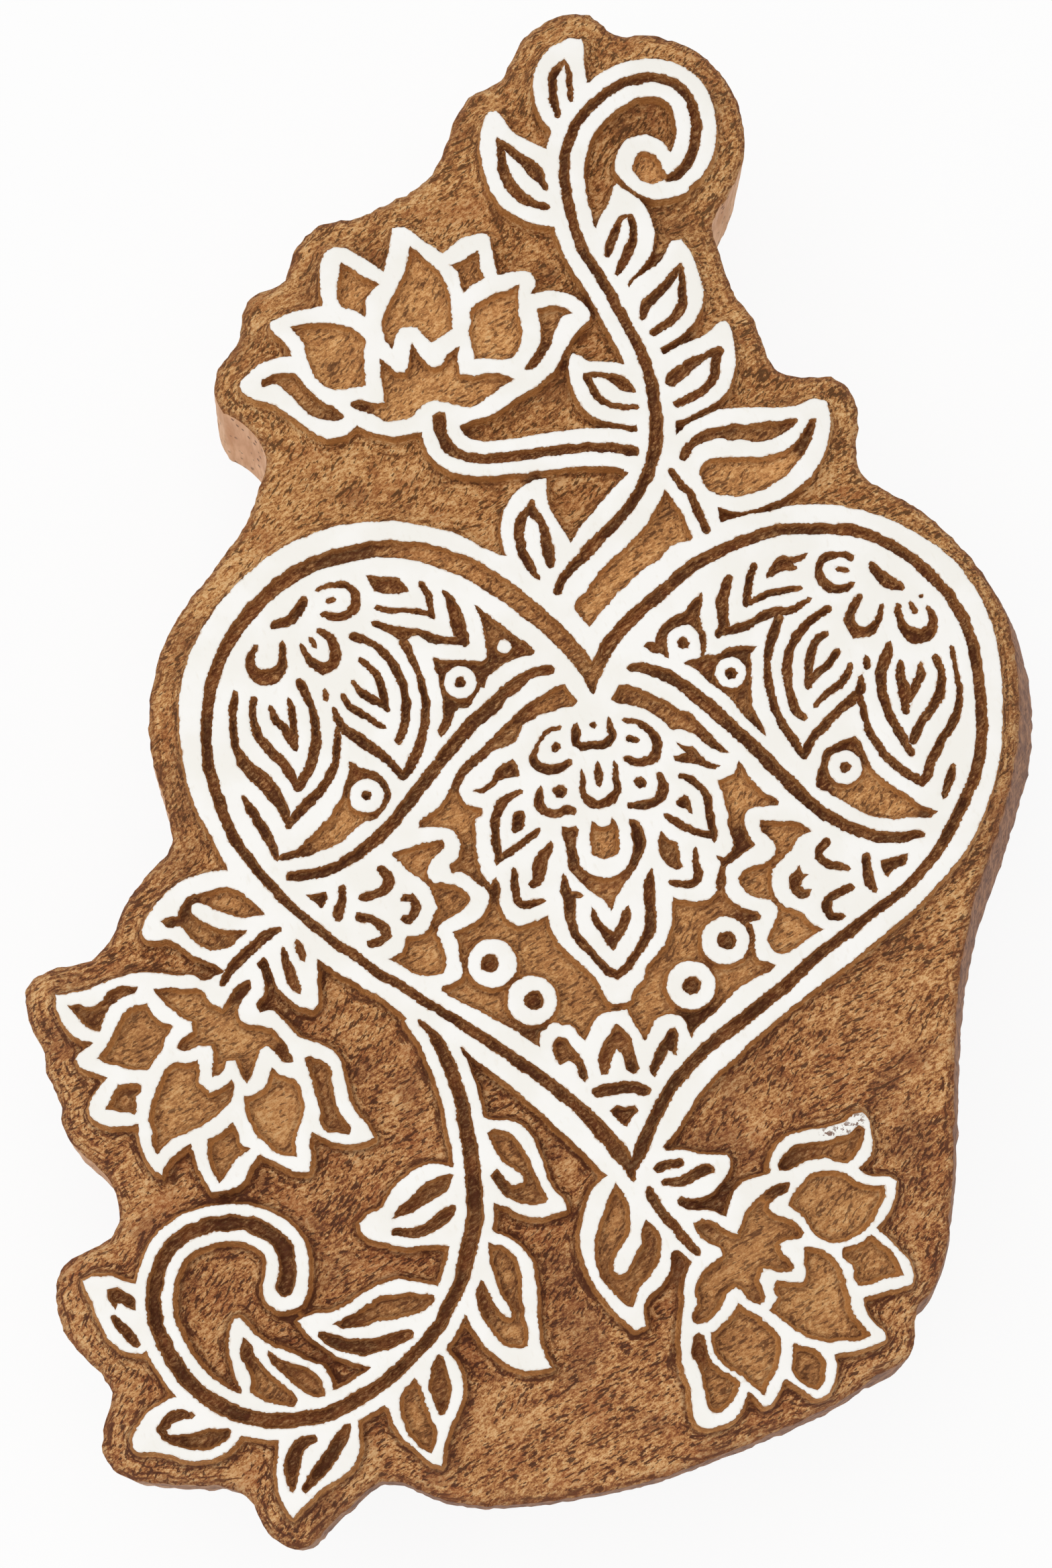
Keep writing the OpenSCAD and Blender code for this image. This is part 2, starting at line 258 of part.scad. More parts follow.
// Cuts in the upper vine, its curl, its leaves and the gaps beside it
upper_cuts = [
    cut(strokes = [groove_of(upper_vine)], loops = [
        [[20.4, 90.2], [18.3, 89.1], [16.6, 89.8], [15.4, 91.4], [15.8, 93.3], [17.2, 94.1], [18.7, 93.4],
            [19.6, 91.8]]]),
    cut(strokes = [groove_of(lotus_stem)]),
    cut(strokes = [[[4.5, 99.4, 0.7], [4, 101.5, 1.1], [3.7, 104.2, 1.1], [4.3, 106.5, 1.1],
        [5.5, 107.8, 0.8], [6.1, 106, 0.7], [6.3, 103.8, 0.8], [6.5, 102, 0.7]]]),
    cut(strokes = [
        [[3, 85.6, 0.8], [1.3, 85.9, 1.1], [-0.6, 86.9, 1.5], [-2.4, 88.8, 1.6], [-3.4, 91.2, 1.4],
            [-3.7, 93.6, 1.1], [-4.1, 95.8, 0.5]],
        [[-3.8, 95.2, 0.9], [-2.2, 94, 1.1], [-0.3, 92.4, 1.6], [1.2, 91, 2], [2.2, 89.4, 1.2],
            [2.6, 88.3, 0.6]]]),
    cut(strokes = [[[11.7, 78.4, 0.9], [12.2, 80.2, 1.4], [13, 82.2, 1], [13.9, 84.1, 0.6],
        [14.9, 84.4, 0.7], [15.4, 82.8, 0.9], [15.4, 80.8, 1.2], [14.6, 78.6, 1.3], [13.6, 76.6, 1.1],
        [13.2, 75.4, 0.6]]]),
    cut(strokes = [
        [[22.3, 76.8, 0.5], [21.3, 75.4, 1], [19.9, 73.6, 1.1], [18.4, 72, 1.4], [17.2, 70.7, 1.5],
            [16.7, 68.8, 0.6]],
        [[22.3, 76.6, 0.8], [22.4, 74.5, 0.9], [22.6, 72.3, 1.1], [22.1, 70.1, 1.3], [20.7, 68.3, 1.2],
            [18.3, 66.7, 1.1]]]),
    cut(strokes = [
        [[20.9, 59.6, 1.9], [22.3, 60.8, 1.8], [24, 62.2, 1.5], [25.9, 63.3, 0.9], [27.8, 64, 1.2]],
        [[27.5, 63.9, 1.2], [27.2, 62, 1.2], [26.9, 60, 1.1], [25.6, 58.2, 1.2], [23.6, 56.9, 1.2],
            [21.5, 55.9, 1]]]),
    cut(strokes = [[[20.7, 45.9, 1], [22, 44, 1], [23.3, 42.7, 1], [24.3, 40.3, 1], [25.2, 38.3, 1],
        [25.7, 37.2, 1]]]),
    cut(strokes = [[[22.4, 48.1, 1.2], [23.6, 49.9, 1.2], [25.4, 51.1, 1.5], [28, 51.7, 1.8],
        [31, 51.8, 2.4], [34, 51.9, 2.8], [36.5, 52.6, 1.8], [38.5, 53.5, 0.7]]]),
    cut(loops = [[[24.8, 46], [25.9, 47.6], [28.5, 48], [32, 48], [35.5, 48.5], [38.2, 49.8], [39.6, 51.8],
        [40.8, 53.9], [41.6, 53.8], [41, 51.2], [39.4, 48.3], [37.2, 45.6], [34.3, 43.6], [30.5, 42.5],
        [27.2, 42.6], [25.5, 44]]]),
    cut(strokes = [
        [[8.6, 60.1, 0.9], [10.2, 60.2, 0.6], [11.8, 60, 0.9], [13.3, 59.2, 1.6], [14.6, 58.4, 1.4],
            [15.4, 57.7, 0.5]],
        [[8.7, 60, 0.9], [9.3, 58.6, 1.1], [10.1, 57, 1], [11.6, 55.9, 0.8], [13.7, 55.5, 0.7],
            [15.8, 55.4, 0.6]]]),
    cut(strokes = [
        [[0.7, 41.4, 0.5], [0.5, 40.2, 1.3], [-0.4, 39.3, 1.2], [-1, 37.8, 1.3], [-1.1, 36, 1.3],
            [-0.5, 33.8, 1.2], [0.5, 31.7, 1.1], [1.7, 30, 0.5]],
        [[0.7, 40, 1.2], [1.7, 39, 1], [2.3, 37.6, 1], [2.8, 35.6, 1.4], [3.1, 33.8, 1.7],
            [3.4, 31.8, 0.7]]]),
    cut(strokes = [[[-4, 44.3, 1], [-1, 44.6, 1], [2, 45.3, 0.9], [4, 45.6, 1]]], loops = [
        [[2.8, 44.8, 1], [3, 42], [3.4, 40.3], [4.6, 38.3], [6.3, 35.4, 1], [7.5, 37.6], [9, 39.3],
            [10.7, 41.5], [11.9, 42.9], [14.5, 45.6, 1], [12.6, 46.1], [9.5, 46.4], [6.6, 46.1],
            [2.7, 45.8]]]),
    cut(loops = [[[19.8, 43.1, 1], [20.9, 41.4], [21.9, 40], [22.7, 38.3], [23.6, 36.1, 1], [22.5, 35.6],
        [20.4, 34.7], [19, 33.2], [17.3, 32], [15.8, 30.8], [14.4, 29.3], [12.7, 27.8], [11.2, 25.9],
        [9.7, 24.2], [8.9, 23.1], [7.1, 25.2], [6.9, 26.3], [8.5, 28.1], [10.2, 30.8], [11.9, 32.5],
        [13.9, 34.4], [15.8, 36.4], [17.3, 38.3], [18.7, 40.8]]])];

// Cuts in the upper lotus
upper_lotus_cuts = [
    cut(strokes = [[[-37.5, 58.8, 1], [-35.8, 59.2, 1.5], [-34, 58.7, 2.6], [-32.2, 56.8, 2.4],
        [-30.2, 55, 2.4], [-28, 54.1, 2], [-26.6, 53.8, 0.9]]]),
    cut(loops = [[[-33.9, 67, 1], [-31, 67.5], [-28, 67.6], [-25, 66.7], [-23.4, 65.4], [-23.5, 62.5],
        [-23.1, 58.5, 1], [-25.5, 58.1], [-28, 57.9], [-30, 59.2], [-31.3, 61.8], [-32.3, 65]]]),
    cut(loops = [[[-26.9, 76.7, 1], [-25.3, 76], [-23.7, 74.8], [-21.4, 73.6, 1], [-22.5, 72.5],
        [-23.2, 71], [-23.3, 68.7, 1], [-25, 69.8], [-26.3, 69.9], [-27, 70.7], [-27.3, 72.3],
        [-27.1, 74.7]]]),
    cut(loops = [[[-16.8, 79.2, 1], [-15, 77.8], [-13.3, 76], [-12, 74.3], [-11.3, 72.3], [-11, 69.7],
        [-10.7, 67, 1], [-11.7, 66.3], [-13.7, 65, 1], [-14.8, 66], [-15.8, 67.2], [-17.3, 67.3],
        [-18.5, 66.7], [-19.2, 65], [-19.5, 63.9, 1], [-20.3, 65.3], [-20.8, 67.3], [-20.5, 69.3],
        [-18.7, 73], [-17.8, 75], [-17.2, 77]]]),
    cut(loops = [[[-7.1, 78.8, 1], [-6.8, 76.7], [-6.2, 74.7, 1], [-7.7, 73.7], [-9.1, 72.4, 1], [-9.5, 74],
        [-10, 75.7], [-10.9, 76.5, 1], [-9.3, 77.2], [-8, 78]]]),
    cut(loops = [[[-1.2, 73.5, 1], [-1.3, 71.7], [-1.2, 69.3], [-0.7, 66.7], [-0.9, 65], [-1.8, 63.2],
        [-2.7, 62.4], [-5.7, 62.7], [-7.5, 62.4, 1], [-7.7, 64.3], [-8.3, 66.3], [-8, 68], [-8, 69.7],
        [-6.7, 71], [-4.7, 72.2], [-2.7, 72.8]]]),
    cut(loops = [[[1.5, 70, 1], [3.5, 70.4], [5.2, 70.3], [6.6, 69.5, 1], [5.1, 69], [4.2, 67.2], [3.4, 65],
        [2.3, 62.6], [0.8, 61.1], [-0.3, 60.9, 1], [0.6, 62.3], [1.6, 64], [2.1, 66], [2, 68]]]),
    cut(loops = [[[-25.2, 55.8], [-24, 56], [-22, 55.8], [-20.3, 55.7, 1], [-20.7, 58.7], [-21.1, 62.3, 1],
        [-20, 61.3], [-18.7, 60.3], [-17.5, 60.4], [-16.9, 61.7], [-16.5, 64.7, 1], [-15.2, 62.7],
        [-14.3, 61.5], [-13.3, 61.1], [-12.3, 61.3], [-11.5, 63], [-9.7, 64.3, 1], [-10, 62.3], [-9.7, 60],
        [-7.3, 60], [-5.3, 60.3], [-3.7, 60.2], [-1.8, 59.5], [-3.3, 58.5], [-5, 57.3], [-6.7, 56],
        [-8.3, 55.3], [-10, 55.7], [-13, 56.3], [-14.7, 55.8], [-15.7, 54.7], [-16.7, 53.7], [-18.3, 53.2],
        [-20.3, 53.3], [-22.7, 54.3], [-25, 55.3]]])];

// Cuts that frame the heart: the line round it, and the two lines that cross its field
heart_line_left = [
    [9.35, 13.4, 0.5], [9.2, 15, 1.6], [8.5, 17, 2.4], [7, 19, 2.4], [5, 21.2, 2.5], [2.8, 23.4, 2.5],
    [0.5, 25.3, 2.7], [-2, 27.4, 2.8], [-4.7, 29.2, 3], [-7.5, 31, 2.9], [-10.7, 32.4, 2.9],
    [-15, 33.7, 2.7], [-20.5, 34.2, 2.3], [-25, 33.5, 2.2], [-29.5, 32.2, 2.2], [-33.5, 30.1, 2.1],
    [-37, 27.2, 2], [-40, 23.8, 2], [-42.3, 20.2, 1.7], [-44, 16, 1.7], [-44.9, 11.5, 1.5], [-45.1, 7, 1.4],
    [-44.7, 2.5, 1.5], [-43.5, -1.4, 1.5], [-42.4, -4.6, 1.4], [-41, -7.8, 1.3], [-39.4, -10, 1.3],
    [-37.4, -12.6, 1.3], [-35.5, -14.7, 1.3], [-33.6, -16.8, 1.2], [-31.3, -18.8, 1.2], [-28.8, -20.8, 1.2],
    [-26, -23.1, 1.3], [-24, -24.2, 1.2], [-22.3, -25.5, 1.1], [-20.5, -26.9, 1.2], [-18.3, -28, 1.2],
    [-16, -29.5, 1.2], [-14, -30.8, 1.2], [-11.9, -32.1, 1.2], [-10, -33.2, 1.3], [-7.5, -34.8, 1.4],
    [-5.5, -36.1, 1.4], [-1.2, -39, 1.5], [3.2, -42.2, 1.6], [7.7, -45.9, 1.8], [10.6, -49, 2.1],
    [13, -51.8, 2.2], [14.3, -53.8, 1.5], [14.7, -55.4, 0.5]];
heart_line_right = [
    [9.6, 16, 1.6], [10.7, 18.7, 1.9], [12.2, 21.2, 1.9], [14.4, 23.7, 1.9], [16.4, 25.7, 1.8],
    [18.9, 27.8, 1.8], [21.3, 30, 1.7], [23.8, 32.1, 1.7], [26.5, 33.6, 1.7], [29.7, 35.2, 1.5],
    [32.7, 36.3, 1.5], [36, 37.3, 1.5], [39.3, 37.5, 1.5], [43.3, 37.5, 1.5], [46.7, 37.3, 1.5],
    [49.3, 36.5, 1.5], [52, 35.2, 1.5], [55, 33.2, 1.5], [57.3, 31, 1.5], [59.7, 28.5, 1.5],
    [61.3, 26, 1.5], [62.7, 23, 1.5], [63.5, 20, 1.5], [64, 16.7, 1.5], [64.3, 13.3, 1.5], [64.4, 10, 1.5],
    [64.3, 6.7, 1.5], [63.8, 3.7, 1.5], [63, 1, 1.5], [61.8, -1.7, 1.5], [60.5, -4.3, 1.5], [58, -8.8, 1.4],
    [55.8, -11.6, 1.3], [53.4, -14.2, 1.3], [50.9, -16.2, 1.3], [48.3, -18.1, 1.3], [45.7, -20.2, 1.4],
    [43.3, -22, 1.4], [40.8, -23.9, 1.5], [38.5, -26, 1.6], [36, -28.4, 1.7], [33.2, -30.6, 1.8],
    [30.5, -32.8, 1.8], [27.6, -35, 1.8], [24.6, -37.5, 1.7], [22.4, -39.8, 1.7], [20.1, -42.5, 1.6],
    [18.5, -45.3, 1.6], [17, -48.4, 1.7], [15.8, -51.2, 1.7], [14.9, -53.6, 1.2]];
heart_cuts = [
    cut(strokes = [heart_line_left, heart_line_right]),
    cut(strokes = [[[3.2, 16.7, 1.4], [1.3, 16.3, 1.3], [-0.3, 15.5, 1.4], [-2, 14.2, 1.8],
        [-3.8, 12.6, 1.9], [-5.4, 10.8, 2], [-7.3, 9.3, 1.9], [-9.2, 7.1, 1.9], [-11.2, 4.7, 1.8],
        [-13.1, 2.1, 1.7], [-15, -0.4, 1.7], [-17.2, -3.3, 1.6], [-19.2, -5.9, 1.6], [-21.1, -7.8, 1.6],
        [-23.7, -9.9, 1.6], [-26.2, -11.5, 1.4], [-28.8, -12.6, 1.3], [-30.7, -12.9, 1.3],
        [-33, -13.1, 1.2]]]),
    cut(strokes = [[[14.9, 17, 1.1], [16.3, 17.1, 1.4], [18, 16.6, 1.5], [20.1, 15.8, 1.6], [22, 14.6, 1.7],
        [24.2, 12.8, 1.9], [26.2, 11.2, 1.9], [28, 9.5, 1.8], [30, 7.6, 1.7], [32.6, 5.2, 1.8],
        [34.8, 2.8, 1.8], [37.1, 0.5, 1.7], [39.6, -2, 1.7], [42.2, -4.1, 1.6], [44.8, -5.5, 1.6],
        [47.3, -6.5, 1.5], [49.9, -7.2, 1.6], [52.5, -7.2, 1.4], [55.4, -6.7, 1]]])];

// Cuts in the left lobe of the heart
left_lobe_cuts = [
    cut(strokes = [[[-31.7, 26.6, 1], [-32.4, 25.1, 1.6], [-33.7, 23.7, 1.5], [-35.9, 22.9, 0.9]]]),
    cut(strokes = [[[-29.6, 28.1, 0.6], [-28, 28.8, 0.7], [-26.2, 29, 0.8], [-24.7, 28.1, 1.1],
        [-24.2, 26.4, 1.3], [-25.1, 24.8, 1.2], [-27, 24.2, 1], [-29, 24.5, 0.7]]]),
    cut(strokes = [[[-28.3, 26.5, 0.5], [-27.3, 26.8, 0.6]]]),
    cut(loops = [[[-22.8, 30.1], [-21, 30.1], [-18.3, 29.9], [-17.5, 29], [-16.8, 28, 1], [-18.3, 27.7],
        [-20.7, 27.7], [-21.7, 28.3], [-22.3, 29.3]]]),
    cut(strokes = [
        [[-15, 29.2, 0.7], [-14.1, 27.5, 0.8], [-13.6, 25.7, 0.8], [-13.3, 24.3, 0.6]],
        [[-21.3, 25.5, 0.8], [-19, 25.2, 0.7], [-16.3, 25.1, 0.6], [-13.6, 24.7, 0.7]]]),
    cut(strokes = [
        [[-11.7, 28.1, 0.5], [-10.8, 26.5, 1.3], [-10, 24.4, 1.9], [-9.5, 22.3, 1.9], [-8.7, 20.6, 1.2]],
        [[-21.7, 23.3, 0.5], [-19.5, 22.5, 1.1], [-17.5, 21.7, 1.9], [-15.3, 22, 1], [-13, 21, 1.1],
            [-10.5, 20.9, 1.1], [-8.8, 20.6, 0.8]],
        [[-17.4, 20.6, 1.2], [-16.1, 18, 0.9], [-15, 15, 0.9], [-14.3, 12, 1], [-14.4, 8.7, 1.2],
            [-15.2, 5.3, 1.3], [-16.4, 2.6, 1.3], [-17.4, 1.2, 1]],
        [[-17.6, 1.3, 1], [-19.3, 3.3, 1.1], [-21.5, 5, 1.4], [-23.8, 6.7, 1.6], [-25.7, 8, 1.3],
            [-26.8, 9.6, 0.8], [-27.3, 11, 0.4]],
        [[-26.6, 8, 0.8], [-26.7, 5.5, 0.9], [-27, 3, 1], [-28, 0.6, 1.2], [-29.8, -1.8, 1.3], [-32, -4, 1.3],
            [-33.4, -6, 0.9]],
        [[-41.2, 13.2, 0.6], [-41.4, 10.5, 1], [-41.3, 7.5, 0.9], [-40.8, 5, 1.1], [-39.6, 2.8, 1.7],
            [-37.5, 0.8, 2.3], [-35.6, -1.3, 2], [-34, -4, 1.2], [-33.4, -5.5, 0.9]]]),
    cut(strokes = [
        [[-38.5, 12.1, 1], [-38.6, 9.8, 0.9], [-38, 7.3, 1.2], [-36.5, 5.2, 1.2], [-34.7, 3.4, 1.3],
            [-33.2, 1.5, 1.2], [-32.2, -0.5, 1]],
        [[-32, 14.5, 1.3], [-31, 12.6, 1], [-30.1, 10.2, 1], [-29.7, 7.5, 1.2], [-29.9, 4.7, 1.4],
            [-30.7, 2, 1.3], [-32, -0.3, 1.2]]]),
    cut(strokes = [
        [[-36.2, 11.1, 0.5], [-35.5, 9.4, 1.1], [-34.2, 8, 1.2], [-33, 6.3, 1.4], [-32.5, 5, 0.6]],
        [[-33.6, 12.2, 0.5], [-33.1, 10.5, 0.9], [-32.9, 8.5, 0.9], [-32.7, 6.5, 1.2]]]),
    cut(strokes = [[[-28.5, 13.5, 0.5], [-28.3, 12.2, 0.5]]]),
    cut(strokes = [[[-24.6, 21.5, 1], [-22.5, 20.6, 1], [-20.4, 19.2, 1], [-18.6, 16.9, 1.1],
        [-17.4, 14, 1.1], [-17, 11, 1.2], [-17.3, 8.4, 1.1], [-18, 6.3, 1]]]),
    cut(strokes = [
        [[-23.5, 18, 0.7], [-22.2, 16.9, 0.8], [-20.9, 15.2, 0.9], [-20.3, 13, 1.1], [-19.7, 10.7, 0.7]],
        [[-24.6, 14.8, 0.5], [-23.4, 13.3, 1], [-21.7, 12.2, 1], [-20, 11.3, 0.9]]]),
    cut(strokes = [[[-26, 12.9, 0.5], [-24.9, 11.2, 0.9], [-22.9, 9.9, 0.9], [-20.2, 8.2, 0.6]]]),
    cut(strokes = [[[-38.2, 19.9, 0.5], [-39, 18.4, 0.9], [-38.9, 16.6, 1.5], [-37.5, 15.4, 2.2],
        [-35.7, 15.6, 2], [-34.6, 17.2, 1.3], [-34.5, 19.2, 0.9], [-34.6, 20.3, 0.5]]]),
    cut(strokes = [[[-29.4, 22.3, 0.7], [-28, 21.2, 1.2], [-27.1, 19.3, 1.3], [-27.3, 17.5, 1.6],
        [-28.8, 16.7, 1.7], [-30.4, 17.6, 1.3], [-31.4, 19, 0.8], [-31.9, 20, 0.4]]]),
    cut(strokes = [[[-30.6, 20.9, 0.6], [-29.9, 19.9, 0.5]]]),
    cut(strokes = [[[-39.8, -1.9, 0.5], [-38.9, -3.3, 1.2], [-37.7, -5.2, 1.3], [-36.5, -7.2, 1.3],
        [-35.5, -9, 1.1], [-35, -10.6, 0.7]]], loops = [
        [[-24.9, 3.4, 1], [-23.4, 2.3], [-21.4, 1.8], [-20.2, 0.9], [-19.4, -0.4], [-19.2, -2], [-20.1, -3.6],
            [-21.4, -4.9], [-23, -5.4], [-24.9, -7.1], [-26.2, -8.4], [-28.8, -9.4], [-31, -10.2],
            [-33, -10.7], [-35.2, -10.8, 1], [-34.2, -9.9], [-32.3, -9.4], [-30.7, -7.8], [-29.1, -6.2],
            [-27.7, -4.9], [-26.9, -3.3], [-25.9, -2], [-25.6, -0.1], [-25.1, 1.2]]],
        islands = [[-22.5, -1.6, 2.5]]),
    cut(loops = [
        [[-13.3, 18.3, 1], [-11, 17.8], [-9, 18], [-7.3, 17.5], [-6.5, 16.5], [-6.2, 14.8], [-6.7, 13.7],
            [-7.5, 12.5], [-8.4, 11.3], [-9.9, 10.8], [-10.6, 9.2], [-11.5, 7.6], [-12.1, 6.9, 1],
            [-12.4, 8], [-11.8, 9.6], [-11.7, 11.6], [-12.2, 14], [-12.6, 16.2]],
        [[-7.4, 26.1, 1], [-5.1, 24.3], [-3.7, 23.3], [-2, 21.8], [-0.3, 20.7], [1.2, 19.4], [0.8, 18.9],
            [-0.7, 18.6], [-2.7, 17.9], [-4.4, 16.7], [-5.6, 15.4], [-6.1, 14], [-6.8, 13.9], [-6.6, 15.4],
            [-7.2, 16.8], [-8.5, 17.3], [-8, 17.9], [-6.4, 17.7], [-5.6, 18.6], [-5.7, 20.3], [-6.1, 22.2],
            [-6.6, 24.4]]],
        islands = [[-9.4, 14.8, 2.4], [-3.2, 20.05, 1.1]])];

// Cuts in the right lobe of the heart
right_lobe_cuts = [
    cut(loops = [[[40, 34, 1], [39.4, 32.9], [38, 32.4], [38.6, 31.6], [36.5, 31.3], [34.3, 30.4],
        [34.2, 31], [35.4, 32.5], [36.2, 33.5], [38, 33.3]]]),
    cut(strokes = [[[46.3, 33.3, 0.8], [44.6, 33.8, 0.7], [42.6, 33.3, 1.1], [41.6, 31.7, 1],
        [42.1, 29.9, 1.2], [43.8, 28.7, 1.2], [45.8, 29.1, 0.9], [46.4, 29.5, 0.6]]]),
    cut(strokes = [[[44.4, 31.6, 0.6], [45.8, 31.4, 0.6]]]),
    cut(strokes = [[[49.1, 32.4, 0.8], [50, 31.1, 1.5], [51.5, 29.8, 1.9], [53.3, 29.1, 1.1]]]),
    cut(strokes = [
        [[32.4, 32, 0.9], [31.7, 30, 0.9], [31.4, 27.8, 1], [31.3, 26.3, 0.8]],
        [[39.1, 28.8, 0.5], [36.5, 28.4, 0.8], [34, 27.8, 0.9], [31.5, 26.5, 0.8]]]),
    cut(strokes = [
        [[28.9, 30.2, 0.9], [28, 28, 1.3], [27.8, 25.5, 1.6], [28, 23.4, 1.4], [27.2, 21.9, 0.9]],
        [[27.6, 22.3, 1], [30, 22.8, 1.1], [32, 23.7, 1.1], [34.4, 25.1, 1.1], [37, 25.4, 1],
            [38.8, 26.2, 0.8], [40.2, 27.2, 0.5]],
        [[35.8, 24.5, 1.2], [35, 22, 1.2], [34.2, 19, 1], [34.2, 15.8, 1], [34.8, 12.4, 1], [36, 9.2, 1.1],
            [37.7, 6.7, 1.2], [39.1, 4.4, 0.9]],
        [[39.2, 4.5, 0.9], [40.2, 6.7, 1.1], [42, 8.7, 1.3], [44, 10.9, 1.3], [46, 12.5, 1.4],
            [47.2, 13.9, 1.3], [47.5, 15.9, 0.6]],
        [[47.2, 13, 0.9], [47.8, 10.2, 0.9], [48.6, 7.7, 1], [50.2, 5.2, 1.1], [52.5, 2.8, 1.1],
            [55.3, 1, 1.2]],
        [[60.3, 20.2, 0.6], [60.8, 17.5, 0.5], [61.3, 14.7, 0.7], [61.2, 11.8, 1], [60.2, 9.2, 1.2],
            [58.6, 6.7, 1.3], [57.3, 4, 1.3], [56.4, 1.7, 1.3], [55.8, 0.7, 1.2]]]),
    cut(strokes = [
        [[51.5, 20.7, 0.8], [51, 18.9, 1.5], [50.2, 16.4, 1.5], [50.4, 13.6, 1.3], [51.3, 10.5, 1.2],
            [52.9, 7.6, 1.2], [54.3, 4.9, 0.8]],
        [[58.1, 18.9, 0.8], [58.8, 16.6, 1], [58.7, 14, 1.3], [57.4, 11.5, 1.3], [55.8, 9.3, 1.2],
            [54.6, 6.7, 1.2]]]),
    cut(strokes = [
        [[53.1, 18.1, 0.7], [53, 16.2, 1.3], [53.5, 13.8, 1.6], [53.7, 11, 0.9]],
        [[55.9, 17.8, 0.6], [55.8, 15.9, 1.2], [54.8, 14.2, 1.3], [54, 12.6, 1.2]]]),
    cut(strokes = [[[48.1, 18.6, 0.8], [48.3, 17.3, 0.7]]]),
    cut(strokes = [[[42.8, 25.7, 1.1], [40.8, 24.4, 1.1], [38.8, 22.4, 1.1], [37.3, 19.7, 1.2],
        [36.9, 16.7, 1.2], [37.3, 13.7, 1.1], [38, 11, 1.2], [39.2, 10, 1]]]),
    cut(strokes = [
        [[42.5, 22.3, 0.8], [41.1, 21, 1.1], [40.3, 19.2, 1.1], [40, 16.8, 1.1], [39.9, 14.4, 0.8]],
        [[44, 19.5, 1], [42.8, 17.8, 1.1], [41.3, 16.4, 1], [40.1, 15.2, 0.8]]]),
    cut(strokes = [[[45.9, 17.8, 0.6], [45.4, 16.1, 1], [43.9, 14.5, 1], [42.2, 13.1, 0.9],
        [40.9, 11.7, 0.6]]]),
    cut(strokes = [[[47.4, 27.6, 0.7], [46.3, 25.9, 1.2], [45.9, 24, 1.5], [46.9, 22.4, 1.6],
        [48.5, 22.5, 1.4], [49.9, 24, 1], [50.5, 26.3, 0.5]]]),
    cut(strokes = [[[52.8, 26.4, 0.8], [53.1, 24.5, 1], [53.7, 22.9, 1.5], [55.2, 21.9, 2],
        [56.9, 22.2, 1.8], [57.8, 23.9, 1.2], [57.2, 26, 0.7]]]),
    cut(strokes = [[[54.7, 26.6, 0.5], [55.2, 25.4, 0.7]]]),
    cut(strokes = [[[60.2, 3.2, 0.5], [59.7, 1.2, 1.2], [58.8, -1.2, 0.6]]]),
    cut(loops = [[[46.5, 7.3, 1], [44.7, 6.5], [43, 5.8], [41.8, 4.7], [41.5, 3], [40.8, 0.8], [41.3, -0.2],
        [44.7, -2], [46.7, -3.3], [49, -4.2], [51.7, -4.5], [54.3, -4.3], [56.7, -4.2], [57.8, -3.5],
        [55.7, -2.7], [53.7, -1.3], [51.3, 0.3], [48.8, 2.4], [47.8, 4.7], [47.2, 6.3]]],
        islands = [[44.9, 2.8, 2.5]]),
    cut(loops = [
        [[32.5, 20.3, 1], [31.3, 20.3], [29.7, 20.2], [28, 19.7], [27, 18.8], [25, 18.8], [22.3, 17.7, 1],
            [23.7, 17.1], [24.9, 16.1], [26.1, 14.9], [28, 13.5], [29.3, 12.3], [30.3, 10.7], [31.7, 9.3],
            [33.8, 7.2, 1], [33, 9.3], [32, 11.3], [31.7, 13], [31.8, 15], [31.7, 17], [31.8, 19]],
        [[16.7, 20.1, 1], [17.2, 20.7], [18.2, 20.6], [18.4, 21.7], [19, 22.8], [20.2, 24], [21.5, 24.7],
            [22.6, 25.3], [23.3, 26.6], [25, 28, 1], [24.8, 26.5], [24.5, 24.8], [24.9, 23], [25.3, 21.5],
            [25.4, 20], [25.2, 18.7], [24.7, 18.8], [24.7, 20.8], [24.3, 22.3], [23.7, 23], [22.3, 23.4],
            [21, 23], [20, 22], [19.7, 20.7], [20, 19.6], [20, 18.6, 1], [18.8, 19.2], [17.6, 19.5]]],
        islands = [[28.9, 16.4, 2.3]])];

